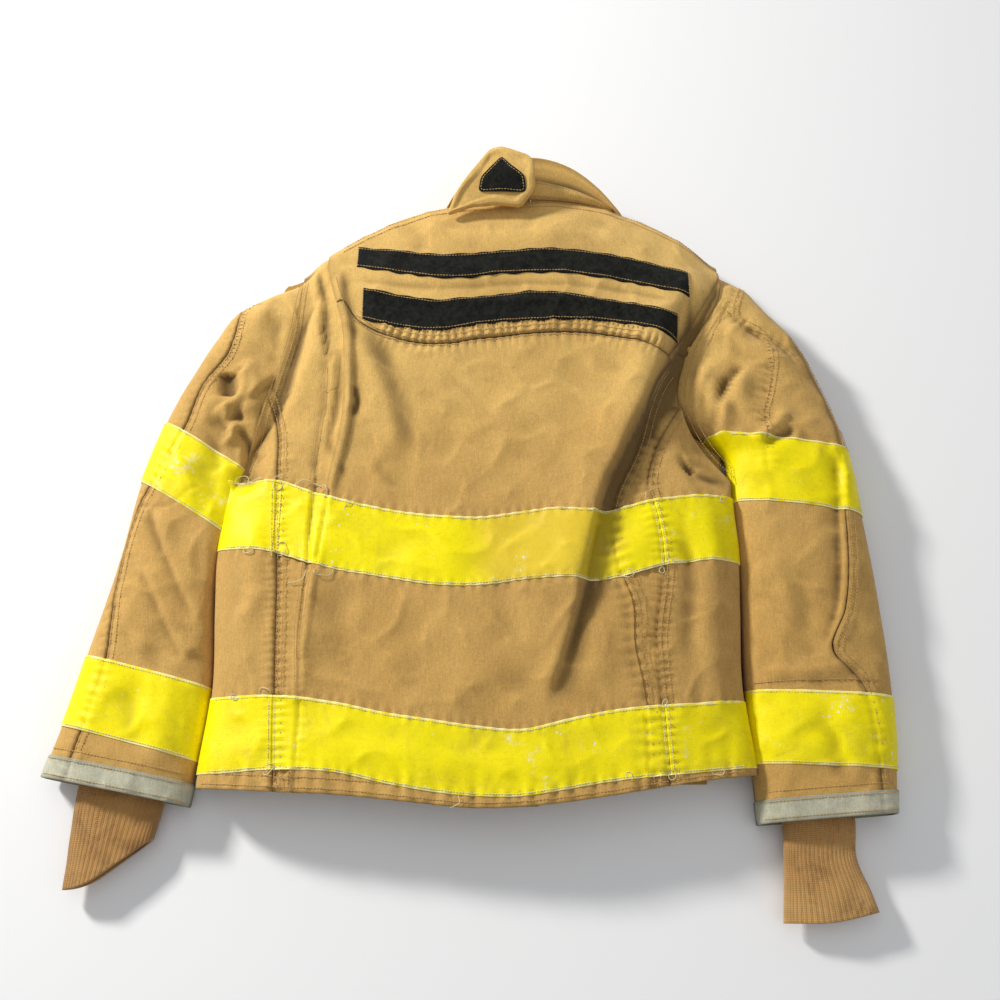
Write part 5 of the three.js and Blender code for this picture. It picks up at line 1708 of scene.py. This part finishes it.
for side, (arm, seam_path, length, upper, lower) in arm_data.items():
    on_this = functools.partial(on_arm, arm)
    sign = 1 if side == "left" else -1
    sewn = [p for p in smooth_path(seam_path, 60) if p[0] < length - 24]
    tan_arm = [on_this(sewn, -gap * sign) for gap in (3.0, 8.5)]
    cream_arm = []
    if side == "right":
        tan_arm += [on_this(right_inner_seam, gap) for gap in (3.0, 8.5)]
        tan_arm += [on_this(right_head_seam, 3.0), on_this(right_forearm_seam, 2.0)]
        bars = ladder(on_this, right_inner_seam[2:6], 4.0, 7.5, 4.4, 3.0)
    else:
        bars = ladder(on_this, seam_path[1:4], -4.0, -7.5, 4.4, 3.0)

    def across_arm(at):
        """Values of q over the sleeve's top at a place along it."""
        centre, half = arm.across(np.array([at]))
        return np.linspace(centre[0] - half[0] * 0.92, centre[0] + half[0] * 0.92, 60)

    for start, slope in (upper, lower):
        q = across_arm(start + 30.0)
        for inset in (2.6, TRIM_WIDTH - 2.6):
            l = start + inset + slope * q
            cream_arm.append(arm.at(l, arm.t_of(l, q), TRIM_TOP))
    q = across_arm(length - 10.0)
    for from_end, lift in ((17.0, 4.3), (1.0, 4.3), (27.0, STITCH_LIFT)):
        l = length - from_end + 0 * q
        tan_arm.append(arm.at(l, arm.t_of(l, q), lift))
    sleeve_piece(stitched(side + "_sleeve_stitches", tan_arm, TAN_THREAD), side, None)
    sleeve_piece(stitched(side + "_trim_stitches", cream_arm, *CREAM_STITCH), side, None)
    sleeve_piece(stitched(side + "_ladder_stitches", bars, TAN_THREAD, 6.0, 4.0, 0.5, 8), side, None)

collar_lines = []
for start, end in ((32, 148), (-86, 26)):
    angle = np.linspace(start, end, 120)
    for h in (0.09, 0.20, 0.86):
        collar_lines.append(collar_surface(angle, np.full(120, h), 3.7))
coat_piece(stitched("collar_stitches", collar_lines, TAN_THREAD), slot="shell_cloth")


def inset_ring(outline, share):
    ring = smooth_closed(outline)
    middle = ring.mean(0)
    inner = ring + (middle - ring) / np.linalg.norm(middle - ring, axis=1)[:, None] * share
    return np.concatenate([inner, inner[:1]])


tab_ring, patch_ring = inset_ring(tab_outline, 4.2), inset_ring(patch_outline, 2.6)
tab_lines = [
    np.column_stack([tab_ring, tab_height(tab_ring[:, 0], tab_ring[:, 1]) + 2.9]),
    np.column_stack([patch_ring, tab_height(patch_ring[:, 0], patch_ring[:, 1]) + 4.7]),
]
coat_piece(stitched("throat_tab_stitches", tab_lines, TAN_THREAD), slot="shell_cloth", body="throat_tab")


# ---------------------------------------------------------------- floor, light and camera
FLOOR_REACH = 6.0
corners = [(x * FLOOR_REACH, y * FLOOR_REACH, 0) for x, y in ((-1, -1), (1, -1), (1, 1), (-1, 1))]
floor_mesh = bpy.data.meshes.new("floor")
floor_mesh.from_pydata(corners, [], [(0, 1, 2, 3)])
floor = new_object("floor", floor_mesh)
floor_paper, _, paper_shader, _ = start_material("floor_paper", 0.9, 0.0, 0.0, 0.1)
paper_shader.inputs["Base Color"].default_value = (0.93, 0.93, 0.93, 1)
floor_mesh.materials.append(floor_paper)


def area_light(name, place, aim, energy, size, tint=(1.0, 1.0, 1.0)):
    data = bpy.data.lights.new(name, "AREA")
    data.energy, data.size, data.color = energy, size, tint
    lamp = new_object(name, data)
    lamp.location = place
    lamp.rotation_euler = (Vector(aim) - Vector(place)).to_track_quat("-Z", "Y").to_euler()


area_light("key_light", (-2.1, 1.5, 1.5), (0, 0, 0), 92, 0.4, (1.0, 0.985, 0.955))
area_light("fill_light", (1.6, -0.9, 2.4), (0, 0, 0), 8, 2.4, (0.97, 0.98, 1.0))
area_light("top_light", (-0.2, 0.3, 2.6), (0, 0, 0), 10, 2.2)
world = bpy.data.worlds.new("studio")
bpy.context.scene.world = world
world.use_nodes = True
sky = world.node_tree.nodes["Background"].inputs
sky["Color"].default_value = (0.9, 0.92, 0.95, 1)
sky["Strength"].default_value = 0.34

CAMERA_TILT = 19.0
camera_data = bpy.data.cameras.new("camera")
camera_data.sensor_width = 36.0
camera_data.lens = 43.2
camera_data.clip_end = 50.0
camera = new_object("camera", camera_data)
camera.location = metres((0.0, -421.9, 1265.4))
camera.rotation_euler = (math.radians(CAMERA_TILT), 0.0, 0.0)
bpy.context.scene.camera = camera
bpy.context.scene.view_settings.view_transform = "Standard"
